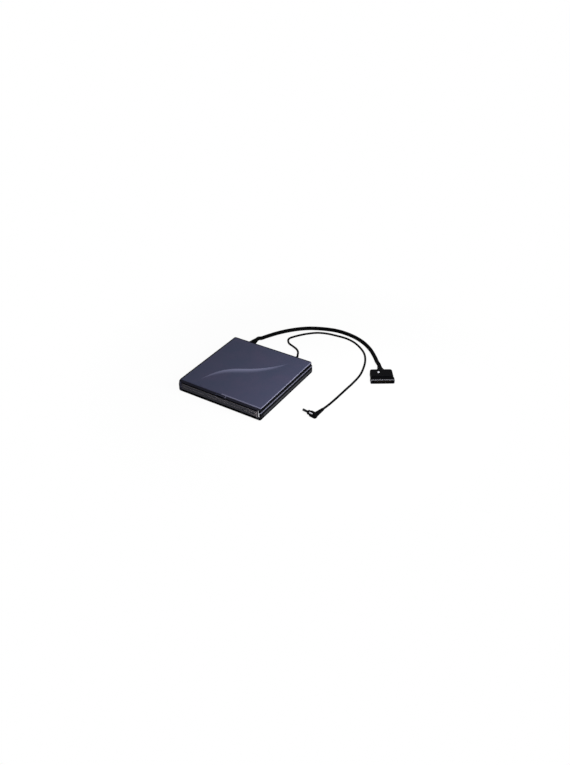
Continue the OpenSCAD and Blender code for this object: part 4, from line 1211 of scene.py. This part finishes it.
@dataclass
class CaseShells:
    """The cover with its wave, the lower case and the feet."""

    half: float = 69.6
    front: float = -70.5
    rear: float = 70.5
    # Heights, from under the lower case up to the roof.
    under: float = 1.0
    bilge: float = 1.6
    floor: float = 2.8
    flare: float = 3.0
    waist: float = 5.0
    lower: float = 8.8
    groove: float = 10.4
    tongue: float = 11.9
    skirt: float = 13.0
    ledge: float = 13.6
    brow: float = 16.6
    ceiling: float = 17.3
    lip: float = 17.4
    roof: float = 19.3
    # How far the cutters reach past the sides and over the roof.
    past: float = 74.0
    above: float = 22.0
    # How far the outline steps in at some of the heights, and the bands between them.
    ledge_in: float = 0.8
    lip_in: float = 1.07
    roof_in: float = 1.2
    slope: float = 4.0
    # The strip over the groove that keeps the near-black painted shadow is this tall.
    shadow: float = 0.7
    chamfer: float = 0.4
    sole_in: float = 1.2
    sole_front: float = 0.6
    bilge_in: float = 0.42
    flare_in: float = 0.07
    # The front: its opening for the tray, the posts beside that, and the finger notch.
    mouth: float = 64.4
    mouth_back: float = -67.2
    left_post: float = -65.9
    right_post: Pair = (65.9, 67.7)
    post_foot: float = 7.0
    post_end: float = -62.6
    notch: Pair = (-4.0, 11.0)
    notch_back: float = -68.9
    notch_rim: float = 0.9
    # Where the painted highlight on the roof's front edge starts, and where its left and rear rims get
    # painted shade.
    highlight_from: float = 3.5
    dim_left: float = -66.0
    dim_rear: float = 67.0
    # The hollow, and the tongue of the lower case that laps into the cover.
    cavity: float = 66.5
    cavity_rear: float = 67.4
    cavity_front: float = -68.2
    tongue_wall: float = 1.4
    lap_wall: float = 1.55
    lap_low: float = 9.0
    tongue_gap: float = 1.1
    porch_gap: float = 0.1
    # Roundings of corners and edges.
    front_round: float = 2.0
    rear_round: float = 3.0
    tub_round: float = 2.9
    inner_round: float = 0.8
    outer_round: float = 2.2
    roof_round: float = 0.9
    edge_round: float = 0.25
    bilge_round: float = 0.28
    chamfer_round: float = 0.15
    # Place across the rear, height and radius of the two cable exits.
    exits: Sequence[Triple] = ((-44.1, 9.5, 3.95), (35.1, 9.5, 2.65))
    feet: Sequence[Triple] = ((-57.6, -57.5, 0), (57.6, -57.5, 0), (-57.6, 50, 0), (57.6, 50, 0))
    foot_outline: Sequence[Pair] = ((0, 3.9), (0, 4.3), (0.12, 4.72), (0.4, 5.0), (1.0, 5.0))
    drive_screws: Sequence[Triple] = ((-50, -40, 0), (50, -40, 0), (-50, 30, 0), (50, 30, 0))
    case_screws: Sequence[Triple] = ((-57.5, 62.7, 0), (57.5, 62.7, 0))
    # Radius and top of the screws' holes.
    drive_bore: Pair = (2.2, 2.0)
    case_bore: Pair = (2.3, 4.4)

    def build(self) -> None:
        """Models every piece of the case."""
        self.cover()
        RoofWave(self.roof).build()
        self.base()
        self.foot_pads()

    def hollow(self, name: str, low: float, high: float, front: float, wall: float = 0.0,
               *paints: Finish) -> Piece:
        """Makes a block with the outline of the hollow in the case, rounded at the rear.

        Args:
            name: The block's name.
            low: Its lowest place.
            high: Its highest place.
            front: Its front end.
            wall: How far it stands outside the hollow.
            paints: Its finishes, if it isn't a cutter.

        Returns:
            The block.
        """
        half, rear = self.cavity + wall, self.cavity_rear + wall
        block = Piece.block(name, (-half, front, low), (half, rear, high), *paints)
        return block.edges(REAR_CORNERS).bevel(self.outer_round if wall else self.inner_round, 8)

    def bores(self, places: Sequence[Triple], radius: float, top: float) -> list[Piece]:
        """Makes cutters for a row of screw holes."""
        return Piece.turned("bore", ((-1, radius), (top, radius)), sides=24).repeat(places)

    def necks(self) -> list[Piece]:
        """Makes cutters for the two cable exits.

        Returns:
            One cutter for each exit.
        """
        cutters = []
        for x, z, radius in self.exits:
            cutter = Piece.turned("neck", ((0, radius), (12, radius)), sides=32)
            cutters.append(cutter.place(laid((x, self.cavity_rear - 4, z), Lying.REAR)))
        return cutters

    def cover(self) -> None:
        """Models the cover with its sloped front, side ledges, corner posts and finger notch."""
        shell = Piece.block(
            "cover_shell", (-self.half, self.front, self.floor), (self.half, self.rear, self.skirt), COVER,
            COVER_HIGHLIGHT, COVER_SIDE, COVER_BAND, COVER_SKIRT, COVER_POST_GLINT, COVER_DIM_HIGHLIGHT, COVER_LEDGE)
        shell.edges(FRONT_CORNERS).bevel(self.front_round, 7)
        shell.edges(REAR_CORNERS).bevel(self.rear_round, 10)
        shell.faces(facing(Way.UP))
        shell.rise(self.ledge, self.half - self.ledge_in, self.front, self.rear - self.ledge_in)
        shell.rise(self.lip, self.half - self.lip_in, self.front, self.rear - self.lip_in)
        shell.rise(self.roof, self.half - self.roof_in, self.front + self.slope, self.rear - self.roof_in)
        shell.faces(lambda f: f.normal.z > 0.5).split(Way.RIGHT, self.highlight_from)
        for x in (self.left_post, -self.mouth, *self.right_post):
            shell.faces(facing(Way.NEAR)).split(Way.RIGHT, x)
        shell.faces(facing(Way.NEAR)).split(Way.UP, self.post_foot)
        self.paint_cover(shell)
        shell.carve(
            Piece.block("mouth", (-self.mouth, -self.past, 0), (self.mouth, self.mouth_back, self.brow)),
            Piece.block("below", (-self.past, self.post_end, 0), (self.past, self.past, self.groove)),
            self.hollow("lap", self.lap_low, self.tongue, self.post_end, self.lap_wall),
            self.hollow("cavity", 0, self.ceiling, self.cavity_front),
            Piece.block("notch", (self.notch[0], -self.past, self.brow - 1),
                        (self.notch[1], self.notch_back, self.above)),
            *self.necks())
        shell.hand_over(Body.CASE, Slot.COVER, "top_cover")

    def paint_cover(self, shell: Piece) -> None:
        """Gives each face of the cover its finish, painted light and shade among them, and rounds its
        edges, with a painted highlight on the roof's and the skirt's.

        Args:
            shell: The cover before its openings are cut.
        """
        strip = self.groove + self.shadow
        # Every side gets near-black painted shade; a strip just over the groove keeps it as a painted
        # shadow.
        shell.faces(lambda f: f.normal.z < 0.3).coat(COVER_SIDE)
        for z in (self.waist, self.lower - self.chamfer, strip):
            shell.faces(walled).split(Way.UP, z)
        # The posts' sides under the groove and the skirt over the strip get the skirt's lighter painted
        # shade.
        shell.faces(lambda f: abs(f.normal.x) > 0.5 and self.waist < middle(f).z < self.lower)
        shell.coat(COVER_SKIRT)
        shell.faces(lambda f: walled(f) and strip < middle(f).z < self.skirt).coat(COVER_SKIRT)
        # The sloped front band gets painted shade.
        shell.faces(sloped).coat(COVER_BAND)
        # A narrow strip by the notch's right end gets a painted highlight.
        left, right = self.notch[1], self.notch[1] + self.notch_rim
        for x in (left, right):
            shell.faces(sloped).split(Way.RIGHT, x)
        shell.faces(lambda f: sloped(f) and left < middle(f).x < right).coat(COVER_HIGHLIGHT)
        # The ledge gets its painted highlight.
        shell.faces(lambda f: self.skirt < middle(f).z < self.ledge).coat(COVER_LEDGE)
        # The front faces get the band's painted shade too.
        shell.faces(facing(Way.NEAR)).coat(COVER_BAND)
        # Strips on the posts' fronts get painted highlights, dim on the left and bright on the right.
        left_post = (self.left_post, -self.mouth)
        for (left, right), finish in ((left_post, COVER_DIM_HIGHLIGHT), (self.right_post, COVER_POST_GLINT)):
            shell.faces(facing(Way.NEAR, lambda c: left < c.x < right and c.z > self.post_foot))
            shell.coat(finish)
        # The roof's and the skirt's rounded edges get a painted highlight.
        shell.edges(level_at(self.roof)).bevel(self.roof_round, 3, COVER_HIGHLIGHT)
        shell.edges(level_at(self.lip)).bevel(self.edge_round, 2)
        shell.edges(level_at(self.skirt)).bevel(self.edge_round, 2, COVER_HIGHLIGHT)
        self.paint_edge_light_and_shade(shell)

    def paint_edge_light_and_shade(self, shell: Piece) -> None:
        """Paints a dimmer highlight on the roof's front edge on the right, and paints shade on its left and
        rear rims.

        Args:
            shell: The cover with its edges rounded.
        """
        edge, dim_lit = shell.number(COVER_HIGHLIGHT), shell.number(COVER_DIM_HIGHLIGHT)
        shell.faces(lambda f: f.normal.y < -0.02 and f.normal.z > 0.8 and f.material_index == edge)
        shell.coat(COVER_DIM_HIGHLIGHT)
        shell.faces(lambda f: f.material_index == dim_lit and middle(f).x < self.highlight_from).coat(COVER)
        top = facing(Way.UP, lambda c: c.z > self.lip)
        shell.faces(top).split(Way.RIGHT, self.dim_left)
        shell.faces(top).split(Way.FAR, self.dim_rear)
        # The left and rear rims of the roof get near-black painted shade.
        shell.faces(lambda f: middle(f).z > self.lip + 0.5
                    and (middle(f).y > self.dim_rear or middle(f).x < self.dim_left)).coat(COVER_SIDE)

    def base(self) -> None:
        """Models the lower case: a tub rounded under its edge, and the tongue that rises in the cover."""
        tub = self.tub()
        tub.carve(
            Piece.block("porch", (-self.past, -self.past, self.floor),
                        (self.past, self.post_end + self.porch_gap, self.above)),
            self.hollow("cavity", self.floor, self.above, self.cavity_front),
            *self.necks(), *self.bores(self.drive_screws, *self.drive_bore),
            *self.bores(self.case_screws, *self.case_bore))
        tongue = self.hollow("tongue", self.lower, self.tongue, self.post_end + self.tongue_gap,
                             self.tongue_wall, CASE)
        tongue.carve(self.hollow("cavity", self.waist, self.above, self.cavity_front), *self.necks())
        tub.join(tongue).hand_over(Body.CASE, Slot.CASE, "bottom_case")

    def tub(self) -> Piece:
        """Models the tub of the lower case, still solid.

        Returns:
            The tub.
        """
        wide, far, top = self.half - self.bilge_in, self.rear - self.bilge_in, self.lower - self.chamfer
        tub = Piece.block("base_shell", (-wide, self.front, self.under), (wide, far, self.bilge),
                          CASE, CASE_BAND)
        tub.edges(FRONT_CORNERS).bevel(self.front_round, 7)
        tub.edges(REAR_CORNERS).bevel(self.tub_round, 10)
        tub.faces(facing(Way.DOWN))
        tub.fit(self.half - self.sole_in, self.front + self.sole_front, self.rear - self.sole_in)
        tub.faces(facing(Way.UP))
        tub.rise(self.flare, self.half - self.flare_in, self.front, self.rear - self.flare_in)
        tub.rise(self.waist, self.half, self.front, self.rear)
        tub.rise(top, self.half, self.front, self.rear)
        tub.rise(self.lower, self.half - self.chamfer, self.front, self.rear - self.chamfer)
        # The upright band of the tub gets the paler painted light.
        tub.faces(lambda f: abs(f.normal.z) < 0.2 and self.waist < middle(f).z < top).coat(CASE_BAND)
        tub.edges(level_at(self.under)).bevel(self.edge_round, 3)
        tub.edges(level_at(self.bilge)).bevel(self.bilge_round, 3)
        tub.edges(level_at(top)).bevel(self.chamfer_round, 2)
        return tub

    def foot_pads(self) -> None:
        """Models one rubber foot with a rounded rim, and copies it to the four corners."""
        first, *others = Piece.turned("foot_pads", self.foot_outline, SOFT).repeat(self.feet)
        first.join(*others)
        first.made.name = "foot_pads"
        first.hand_over(Body.CASE, Slot.SOFT, "rubber_feet")


@dataclass
class FrontPanel:
    """The tray's front with its shaded top band, line, eject button, lamp and release hole.

    The cutters start out before the panel and end behind it or over it.
    """

    half: float = 63.8
    front: float = -70.0
    back: float = -67.6
    low: float = 3.2
    high: float = 14.9
    out: float = -73.0
    behind: float = -60.0
    over: float = 20.0
    past: float = 70.0
    band_low: float = 14.2
    band_in: float = 0.8
    rim: float = 1.3
    rub: float = 0.22
    line: float = 9.6
    line_half: float = 0.25
    line_in: float = 0.4
    scoop: Pair = (-4.0, 11.0)
    scoop_deep: float = 1.4
    chin_in: float = 1.2
    chin_high: float = 1.8
    button: Pair = (56.4, 9.6)
    button_size: Pair = (10.0, 4.4)
    button_gap: float = 0.2
    button_out: float = 0.2
    button_back: float = -68.2
    button_corner: float = 1.0
    button_round: float = 0.45
    button_dish: Pair = (0.4, 0.18)
    stem_half: Pair = (1.0, 0.8)
    stem_end: float = -66.7
    stem_round: float = 0.2
    lamp: float = 45.4
    lamp_size: Pair = (3.0, 1.2)
    lamp_gap: float = 0.05
    lamp_out: float = 0.1
    lamp_corner: float = 0.2
    lamp_round: float = 0.15
    pinhole: float = 40.4
    pinhole_round: float = 0.65
    pinhole_clear: float = 1.5

    def build(self) -> None:
        """Models the panel, the button and the lamp window."""
        self.panel()
        self.key()
        self.window()

    def opening(self, name: str, x: float, size: Pair, gap: float) -> Piece:
        """Makes a cutter for an opening through the panel.

        Args:
            name: The cutter's name.
            x: Its place across the panel.
            size: Width and height of what sits in the opening.
            gap: The clearance round that.

        Returns:
            The cutter.
        """
        wide, tall, z = size[0] / 2 + gap, size[1] / 2 + gap, self.button[1]
        return Piece.block(name, (x - wide, self.out, z - tall), (x + wide, self.behind, z + tall))

    def panel(self) -> None:
        """Models the panel and cuts its openings."""
        panel = Piece.block("tray_front", (-self.half, self.front, self.low),
                            (self.half, self.back, self.high), FRONT, FRONT_HIGHLIGHT, FRONT_SHADE, FRONT_UPPER)
        panel.faces(lambda f: True).split(Way.UP, self.low + self.chin_high)
        panel.edges(creased(lambda c: c.y < self.front + 0.1 and c.z < self.low + 0.1))
        bpy.ops.transform.translate(value=(0, self.chin_in, 0))
        # The chin gets painted shade.
        panel.faces(lambda f: f.normal.y < -0.5 and f.normal.z < -0.2).coat(FRONT_SHADE)
        panel.faces(facing(Way.NEAR)).split(Way.RIGHT, self.half - self.rim)
        pinhole = Piece.turned("pinhole", ((0, self.pinhole_round), (12, self.pinhole_round)), sides=20)
        panel.carve(
            Piece.block("band", (-self.past, self.out, self.band_low),
                        (self.past, self.front + self.band_in, self.over)),
            Piece.block("line", (-self.past, self.out, self.line - self.line_half),
                        (self.past, self.front + self.line_in, self.line + self.line_half)),
            Piece.block("scoop", (self.scoop[0], self.out, self.band_low - self.scoop_deep),
                        (self.scoop[1], self.front + self.band_in, self.over)),
            self.opening("button_hole", self.button[0], self.button_size, self.button_gap),
            self.opening("lamp_hole", self.lamp, self.lamp_size, self.lamp_gap),
            pinhole.place(laid((self.pinhole, self.out, self.button[1]), Lying.REAR)))
        self.paint_panel(panel)
        panel.hand_over(Body.TRAY, Slot.FRONT, "tray_bezel")

    def paint_panel(self, panel: Piece) -> None:
        """Gives each face of the panel its finish, and rounds its front edges.

        Args:
            panel: The panel with its openings.
        """
        skin, end = self.front + NEAR_BY, self.half - self.rim
        # Over the line, the front gets the paler copy with painted light.
        panel.faces(facing(Way.NEAR, lambda c: c.y < skin and c.z > self.line)).coat(FRONT_UPPER)
        # The right end of the front and its rounded front edges get a painted highlight.
        panel.faces(facing(Way.NEAR, lambda c: c.y < skin and c.x > end)).coat(FRONT_HIGHLIGHT)
        panel.edges(creased(lambda c: c.y < skin and abs(c.x - self.pinhole) > self.pinhole_clear, 1.2))
        panel.bevel(self.rub, 2, FRONT_HIGHLIGHT)
        # The set-back top band gets the same painted shade, as under the brow.
        panel.faces(lambda f: middle(f).z > self.band_low + 0.05 and middle(f).y > self.front + 0.5)
        panel.coat(FRONT_SHADE)
        # The scoop's right wall gets a painted highlight.
        panel.faces(facing(Way.LEFT, lambda c: abs(c.x - self.scoop[1]) < 0.1)).coat(FRONT_HIGHLIGHT)

    def key(self) -> None:
        """Models the eject button: a rounded cap with a shallow dish, and its stem."""
        (x, z), (wide, tall) = self.button, self.button_size
        cap = Piece.block("eject_cap", (x - wide / 2, self.front - self.button_out, z - tall / 2),
                          (x + wide / 2, self.button_back, z + tall / 2), FRONT, FRONT_HIGHLIGHT)
        cap.edges(lengthwise(0.5)).bevel(self.button_corner, 5)
        # The button's rounded front rim gets a painted highlight.
        cap.edges(lambda e: all(v.co.y < self.front - 0.1 for v in e.verts))
        cap.bevel(self.button_round, 3, FRONT_HIGHLIGHT)
        cap.faces(facing(Way.NEAR, lambda c: c.y < self.front)).sink(*self.button_dish)
        wide, tall = self.stem_half
        stem = Piece.block("stem", (x - wide, self.button_back, z - tall),
                           (x + wide, self.stem_end, z + tall), FRONT)
        stem.edges(creased(lambda c: c.y > self.stem_end - 0.3)).bevel(self.stem_round, 2)
        cap.join(stem).hand_over(Body.BUTTON, Slot.FRONT, "eject_button")

    def window(self) -> None:
        """Models the lamp's window, a light guide with a rounded nose."""
        (wide, tall), z = self.lamp_size, self.button[1]
        guide = Piece.block("lamp_guide", (self.lamp - wide / 2, self.front - self.lamp_out, z - tall / 2),
                            (self.lamp + wide / 2, self.back, z + tall / 2), LAMP)
        guide.edges(lengthwise(0.5)).bevel(self.lamp_corner, 3)
        guide.edges(creased(lambda c: c.y < self.front)).bevel(self.lamp_round, 3)
        guide.hand_over(Body.TRAY, Slot.LAMP, "lamp_window")


@dataclass
class CaseBoot:
    """A ribbed bend relief where a cable leaves the case.

    It stands across the rear wall at a place of its own. Its radii are those of its neck in the wall,
    of its root just outside and of its tip.
    """

    name: str
    node: str
    across: float
    neck: float
    root: float
    tip: float
    out: float
    ribs: int
    wall: float = 67.4
    height: float = 9.5
    through: float = 3.1
    flange: Pair = (1.3, 0.9)
    collar: float = 2.0
    rib_deep: float = 0.5
    rib_gap: float = 0.75

    def build(self) -> bpy.types.Object:
        """Models the boot as a tapered sleeve with cut rings.

        Returns:
            The finished boot.
        """
        base, end, start = self.through, self.through + self.out, self.through + self.collar
        thick, brim = self.flange
        outline = [(-thick, self.neck + brim), (-0.1, self.neck + brim), (0, self.neck), (base, self.neck),
                   (base + 0.05, self.root - 0.2), (base + 0.3, self.root), (start, self.root)]
        pitch = (self.out - self.collar - 1.2) / self.ribs
        cut = min(self.rib_gap, pitch * 0.3)
        for k in range(self.ribs):
            at = start + k * pitch
            here = self.root + (self.tip - self.root) * (at + pitch / 2 - start) / (self.out - self.collar)
            outline += [(at + 0.1, here), (at + pitch - cut - 0.1, here - 0.02),
                        (at + pitch - cut, here - self.rib_deep), (at + pitch - 0.1, here - self.rib_deep)]
        outline += [(end - 1.1, self.tip + 0.02), (end - 0.25, self.tip), (end, self.tip - 0.25)]
        piece = Piece.turned(self.name, outline, SOFT)
        piece.place(laid((self.across, self.wall, self.height), Lying.REAR))
        return piece.hand_over(Body.CASE, Slot.SOFT, self.node)


@dataclass(frozen=True)
class Ribs:
    """The ribs of a plug's boot, each thinner than the one before, with grooves between them."""

    count: int
    pitch: float
    band: float
    first: float
    thinner: float
    groove: float
    start: float = 2.2
    lean: float = 0.05
    gap: float = 0.1

    def outline(self) -> list[Pair]:
        """Gives the outline of the ribs.

        Returns:
            Height and radius at each step.
        """
        steps = []
        for k in range(self.count):
            at, here = self.start + self.pitch * k, self.first - self.thinner * k
            steps += [(at, here), (at + self.band, here - self.lean),
                      (at + self.band + self.lean, here - self.groove),
                      (at + self.pitch - self.gap, here - self.groove)]
        return steps


@dataclass
class Plug:
    """What both plugs have: a place and a turn on the table, and a height."""

    at: Pair
    turn: float
    tall: float

    def home(self) -> Matrix:
        """Gives the plug's place on the table."""
        return Matrix.Translation((*self.at, 0)) @ Matrix.Rotation(math.radians(self.turn), 4, "Z")


@dataclass
class InterfacePlug(Plug):
    """The flat interface plug: a two-part hood, a wide flange with the socket, and a boot."""

    at: Pair = (156.1, 119.3)
    turn: float = 33.0
    tall: float = 9.0
    half: float = 16.25
    deep: float = 18.0
    hood_round: float = 3.5
    hood_rim: float = 0.9
    hood_seam: float = 0.16
    dish: Pair = (2.6, 0.35)
    grips: Sequence[Triple] = ((1, 0, 0), (4, 0, 0), (7, 0, 0), (10, 0, 0))
    grip_half: float = 0.6
    grip_ends: Pair = (-13.4, -5.0)
    grip_foot: float = 8.4
    grip_round: float = 0.25
    stud: Triple = (-4.3, -7.9, 0)
    stud_outline: Sequence[Pair] = ((8.4, 1.7), (8.9, 1.7), (9.1, 1.4), (9.15, 0.5))
    flange_half: float = 17.5
    flange_deep: float = 7.5
    flange_tall: float = 7.0
    flange_wall: Pair = (3.0, 1.4)
    flange_floor: float = 1.5
    flange_corner: float = 1.5
    flange_back: float = 0.4
    flange_rim: float = 0.35
    boot_foot: Sequence[Pair] = ((0, 4.45), (1.6, 4.4), (2, 4.25))
    boot_ribs: Ribs = Ribs(count=4, pitch=2.1, band=1.3, first=4.15, thinner=0.16, groove=0.5)
    boot_tip: Sequence[Pair] = ((10.7, 3.5), (11.8, 3.45), (12, 3.2))
    root_half: Pair = (6.3, 3.1)
    root_long: float = 9.0
    root_taper: Triple = (0.5, 0.8, 1)
    root_round: float = 1.2

    def build(self) -> list[bpy.types.Object]:
        """Models the plug's pieces.

        Returns:
            The pieces, which all lie on the interface cable.
        """
        return [self.hood(Half.UPPER), self.hood(Half.LOWER), self.flange(), self.boot()]

    def hood(self, side: Half) -> bpy.types.Object:
        """Models one half of the hood, with a rounded rim and a bevelled parting line.

        Args:
            side: Which half.

        Returns:
            The finished half.
        """
        seam, outer = self.tall / 2, self.tall if side is Half.UPPER else 0.0
        low, high = sorted((seam, outer))
        name = f"hood_{side.name.lower()}"
        shell = Piece.block(name, (-self.half, -self.deep, low), (self.half, 0, high), BLACK)
        shell.edges(upright(lambda c: c.y > -self.deep / 2)).bevel(self.hood_round, 8)
        shell.edges(level_at(outer)).bevel(self.hood_rim, 4)
        shell.edges(level_at(seam)).bevel(self.hood_seam, 1)
        if side is Half.UPPER:
            shell.faces(facing(Way.UP)).sink(*self.dish)
            # The stud on the hood's top carries a painted glint.
            stud = Piece.turned("stud", self.stud_outline, BLACK_GLINT, sides=24)
            shell.join(*self.grip_ribs(), stud.place(Matrix.Translation(self.stud)))
        shell.place(self.home())
        return shell.hand_over(Body.CASE, Slot.BLACK, side.value)

    def grip_ribs(self) -> list[Piece]:
        """Models one grip rib and copies it along the hood's dish.

        Returns:
            The ribs.
        """
        near, far = self.grip_ends
        rib = Piece.block("rib", (-self.grip_half, near, self.grip_foot),
                          (self.grip_half, far, self.tall), BLACK)
        rib.edges(creased(lambda c: c.z > self.tall - 0.1)).bevel(self.grip_round, 2)
        return rib.repeat(self.grips)

    def flange(self) -> bpy.types.Object:
        """Models the flange and its open mouth.

        Returns:
            The finished flange.
        """
        front, (side, shelf) = -self.deep - self.flange_deep, self.flange_wall
        body = Piece.block("plug_mouth", (-self.flange_half, front, 0),
                           (self.flange_half, -self.deep, self.flange_tall), BLACK, BLACK_HIGHLIGHT)
        body.edges(lengthwise(1)).bevel(self.flange_corner, 5)
        body.edges(creased(lambda c: c.y > -self.deep - NEAR_BY, 1.2)).bevel(self.flange_back, 3)
        # The front rim of the mouth gets a painted highlight.
        body.edges(creased(lambda c: c.y < front + NEAR_BY, 1.2)).bevel(self.flange_rim, 3, BLACK_HIGHLIGHT)
        wide, back = self.flange_half - side, -self.deep - self.flange_floor
        body.carve(Piece.block("mouth", (-wide, front - 2, shelf), (wide, back, self.flange_tall - shelf)))
        body.place(self.home())
        return body.hand_over(Body.CASE, Slot.BLACK, "plug_flange")

    def boot(self) -> bpy.types.Object:
        """Models the ribbed boot behind the hood, with the wide root that it grows from.

        Returns:
            The finished boot.
        """
        outline = [*self.boot_foot, *self.boot_ribs.outline(), *self.boot_tip]
        piece = Piece.turned("plug_relief", outline, SOFT)
        wide, thick = self.root_half
        root = Piece.block("root", (-wide, -thick, 0), (wide, thick, self.root_long), SOFT)
        root.faces(facing(Way.UP))
        bpy.ops.transform.resize(value=self.root_taper, center_override=(0, 0, self.root_long))
        root.edges(creased(lambda c: c.z > 0.1)).bevel(self.root_round, 4)
        piece.join(root).place(self.home() @ laid((0, 0, self.tall / 2), Lying.REAR))
        return piece.hand_over(Body.CASE, Slot.SOFT, "plug_boot")


@dataclass
class PowerPlug(Plug):
    """The right-angled power plug: a rounded elbow, a boot and a hollow barrel."""

    at: Pair = (126.5, -23.1)
    turn: float = -8.0
    tall: float = 7.0
    left: float = -8.5
    right: float = 3.0
    near: float = -3.5
    far: float = 3.5
    corner: float = 2.0
    shoulder: float = 1.6
    glint_end: float = -2.0
    glint_back: float = -1.5
    dish: Pair = (0.2, 0.25)
    sole_round: float = 0.5
    boot_foot: Sequence[Pair] = ((0, 3.4), (1.7, 3.35), (2, 3.2))
    boot_ribs: Ribs = Ribs(count=5, pitch=2.4, band=1.5, first=3.15, thinner=0.2, groove=0.4)
    boot_tip: Sequence[Pair] = ((14.4, 2.05), (15.3, 1.95), (15.5, 1.75))
    nose: float = 3.0
    nose_in: float = 0.1
    nose_groove: float = 0.3
    barrel: float = 1.75
    barrel_long: float = 9.0
    barrel_wall: float = 0.5
    collar: float = 0.5
    collar_long: float = 0.8
    slack: float = 0.02

    def build(self) -> list[bpy.types.Object]:
        """Models the plug's pieces.

        Returns:
            The pieces, which all lie on the power cable.
        """
        return [self.elbow(), self.boot(), self.tube(), self.ring()]

    def nose_end(self) -> Matrix:
        """Gives the move that lays a turned piece down at the end of the elbow's nose."""
        return self.home() @ laid((self.left - self.nose, 0, self.tall / 2), Lying.LEFT)

    def elbow(self) -> bpy.types.Object:
        """Models the elbow's body with a dished top, a painted glint on its shoulder and a grooved nose.

        Returns:
            The finished elbow.
        """

        def shoulder(face: Face) -> bool:
            """Tells whether a face belongs to a rounding that looks up and to the front."""
            return -0.96 < face.normal.y < -0.3 and face.normal.z > 0.25

        body = Piece.block("elbow_body", (self.left, self.near, 0), (self.right, self.far, self.tall),
                           SOFT, BLACK_GLINT)
        body.edges(upright(anywhere)).bevel(self.corner, 6)
        body.edges(level_at(self.tall)).bevel(self.shoulder, 6)
        body.edges(level_at(0.0)).bevel(self.sole_round, 2)
        body.faces(facing(Way.UP)).sink(*self.dish)
        # Part of the near shoulder, at its left end, gets a painted glint.
        body.faces(shoulder).split(Way.RIGHT, self.glint_end)
        body.faces(lambda f: shoulder(f) and middle(f).x < self.glint_end and middle(f).y < self.glint_back)
        body.coat(BLACK_GLINT)
        long, r = self.nose, self.tall / 2 - self.nose_in
        thin = r - self.nose_groove
        nose = Piece.turned("nose", ((0, r), (long - 1.5, r), (long - 1.4, thin), (long - 0.9, thin),
                                     (long - 0.8, r), (long - 0.3, r), (long, thin)), SOFT)
        nose.place(laid((self.left, 0, self.tall / 2), Lying.LEFT))
        body.join(nose).place(self.home())
        return body.hand_over(Body.CASE, Slot.SOFT, "power_plug_body")

    def boot(self) -> bpy.types.Object:
        """Models the ribbed boot towards the cable.

        Returns:
            The finished boot.
        """
        outline = [*self.boot_foot, *self.boot_ribs.outline(), *self.boot_tip]
        piece = Piece.turned("elbow_relief", outline, SOFT)
        piece.place(self.home() @ laid((0, self.far, self.tall / 2), Lying.REAR))
        return piece.hand_over(Body.CASE, Slot.SOFT, "power_plug_boot")

    def tube(self) -> bpy.types.Object:
        """Models the barrel, a plated tube with a rounded rim.

        Returns:
            The finished barrel.
        """
        r, long, bore = self.barrel, self.barrel_long, self.barrel - self.barrel_wall
        outline = ((0, r), (long - 0.4, r), (long - 0.1, r - 0.12), (long, r - 0.3), (long, r - 0.42),
                   (long - 0.15, bore), (self.collar_long, bore))
        piece = Piece.turned("plug_barrel", outline, DARK_PLATE).place(self.nose_end())
        return piece.hand_over(Body.CASE, Slot.STEEL, "power_plug_barrel")

    def ring(self) -> bpy.types.Object:
        """Models the black insulating collar at the barrel's root.

        Returns:
            The finished collar.
        """
        inner, outer, long = self.barrel + self.slack, self.barrel + self.collar, self.collar_long
        outline = ((0, inner), (0, outer), (long - 0.3, outer), (long, outer - 0.3), (long, inner))
        piece = Piece.turned("barrel_collar", outline, SOFT).place(self.nose_end())
        return piece.hand_over(Body.CASE, Slot.SOFT)


def main() -> None:
    """Builds the studio, the cables and then each sub-assembly in order."""
    logging.basicConfig(level=logging.INFO, format="%(name)s %(message)s")
    own = {*frame["nodes"].values(), *frame["bodies"].values()}
    for thing in [o for o in bpy.data.objects if o not in own]:
        bpy.data.objects.remove(thing)
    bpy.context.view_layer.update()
    Studio().build()
    dress_nodes()
    data, power = DATA_CORD.build(), POWER_CORD.build()
    CaseShells().build()
    FrontPanel().build()
    data_relief = CaseBoot("interface_relief", "interface_boot", -44.1, 3.9, 5.6, 3.45, 20.0, 6).build()
    power_relief = CaseBoot("power_relief", "power_boot_case", 35.1, 2.6, 2.9, 1.95, 10.0, 4).build()
    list(InterfacePlug().build())
    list(PowerPlug().build())


if __name__ == "__main__":
    main()
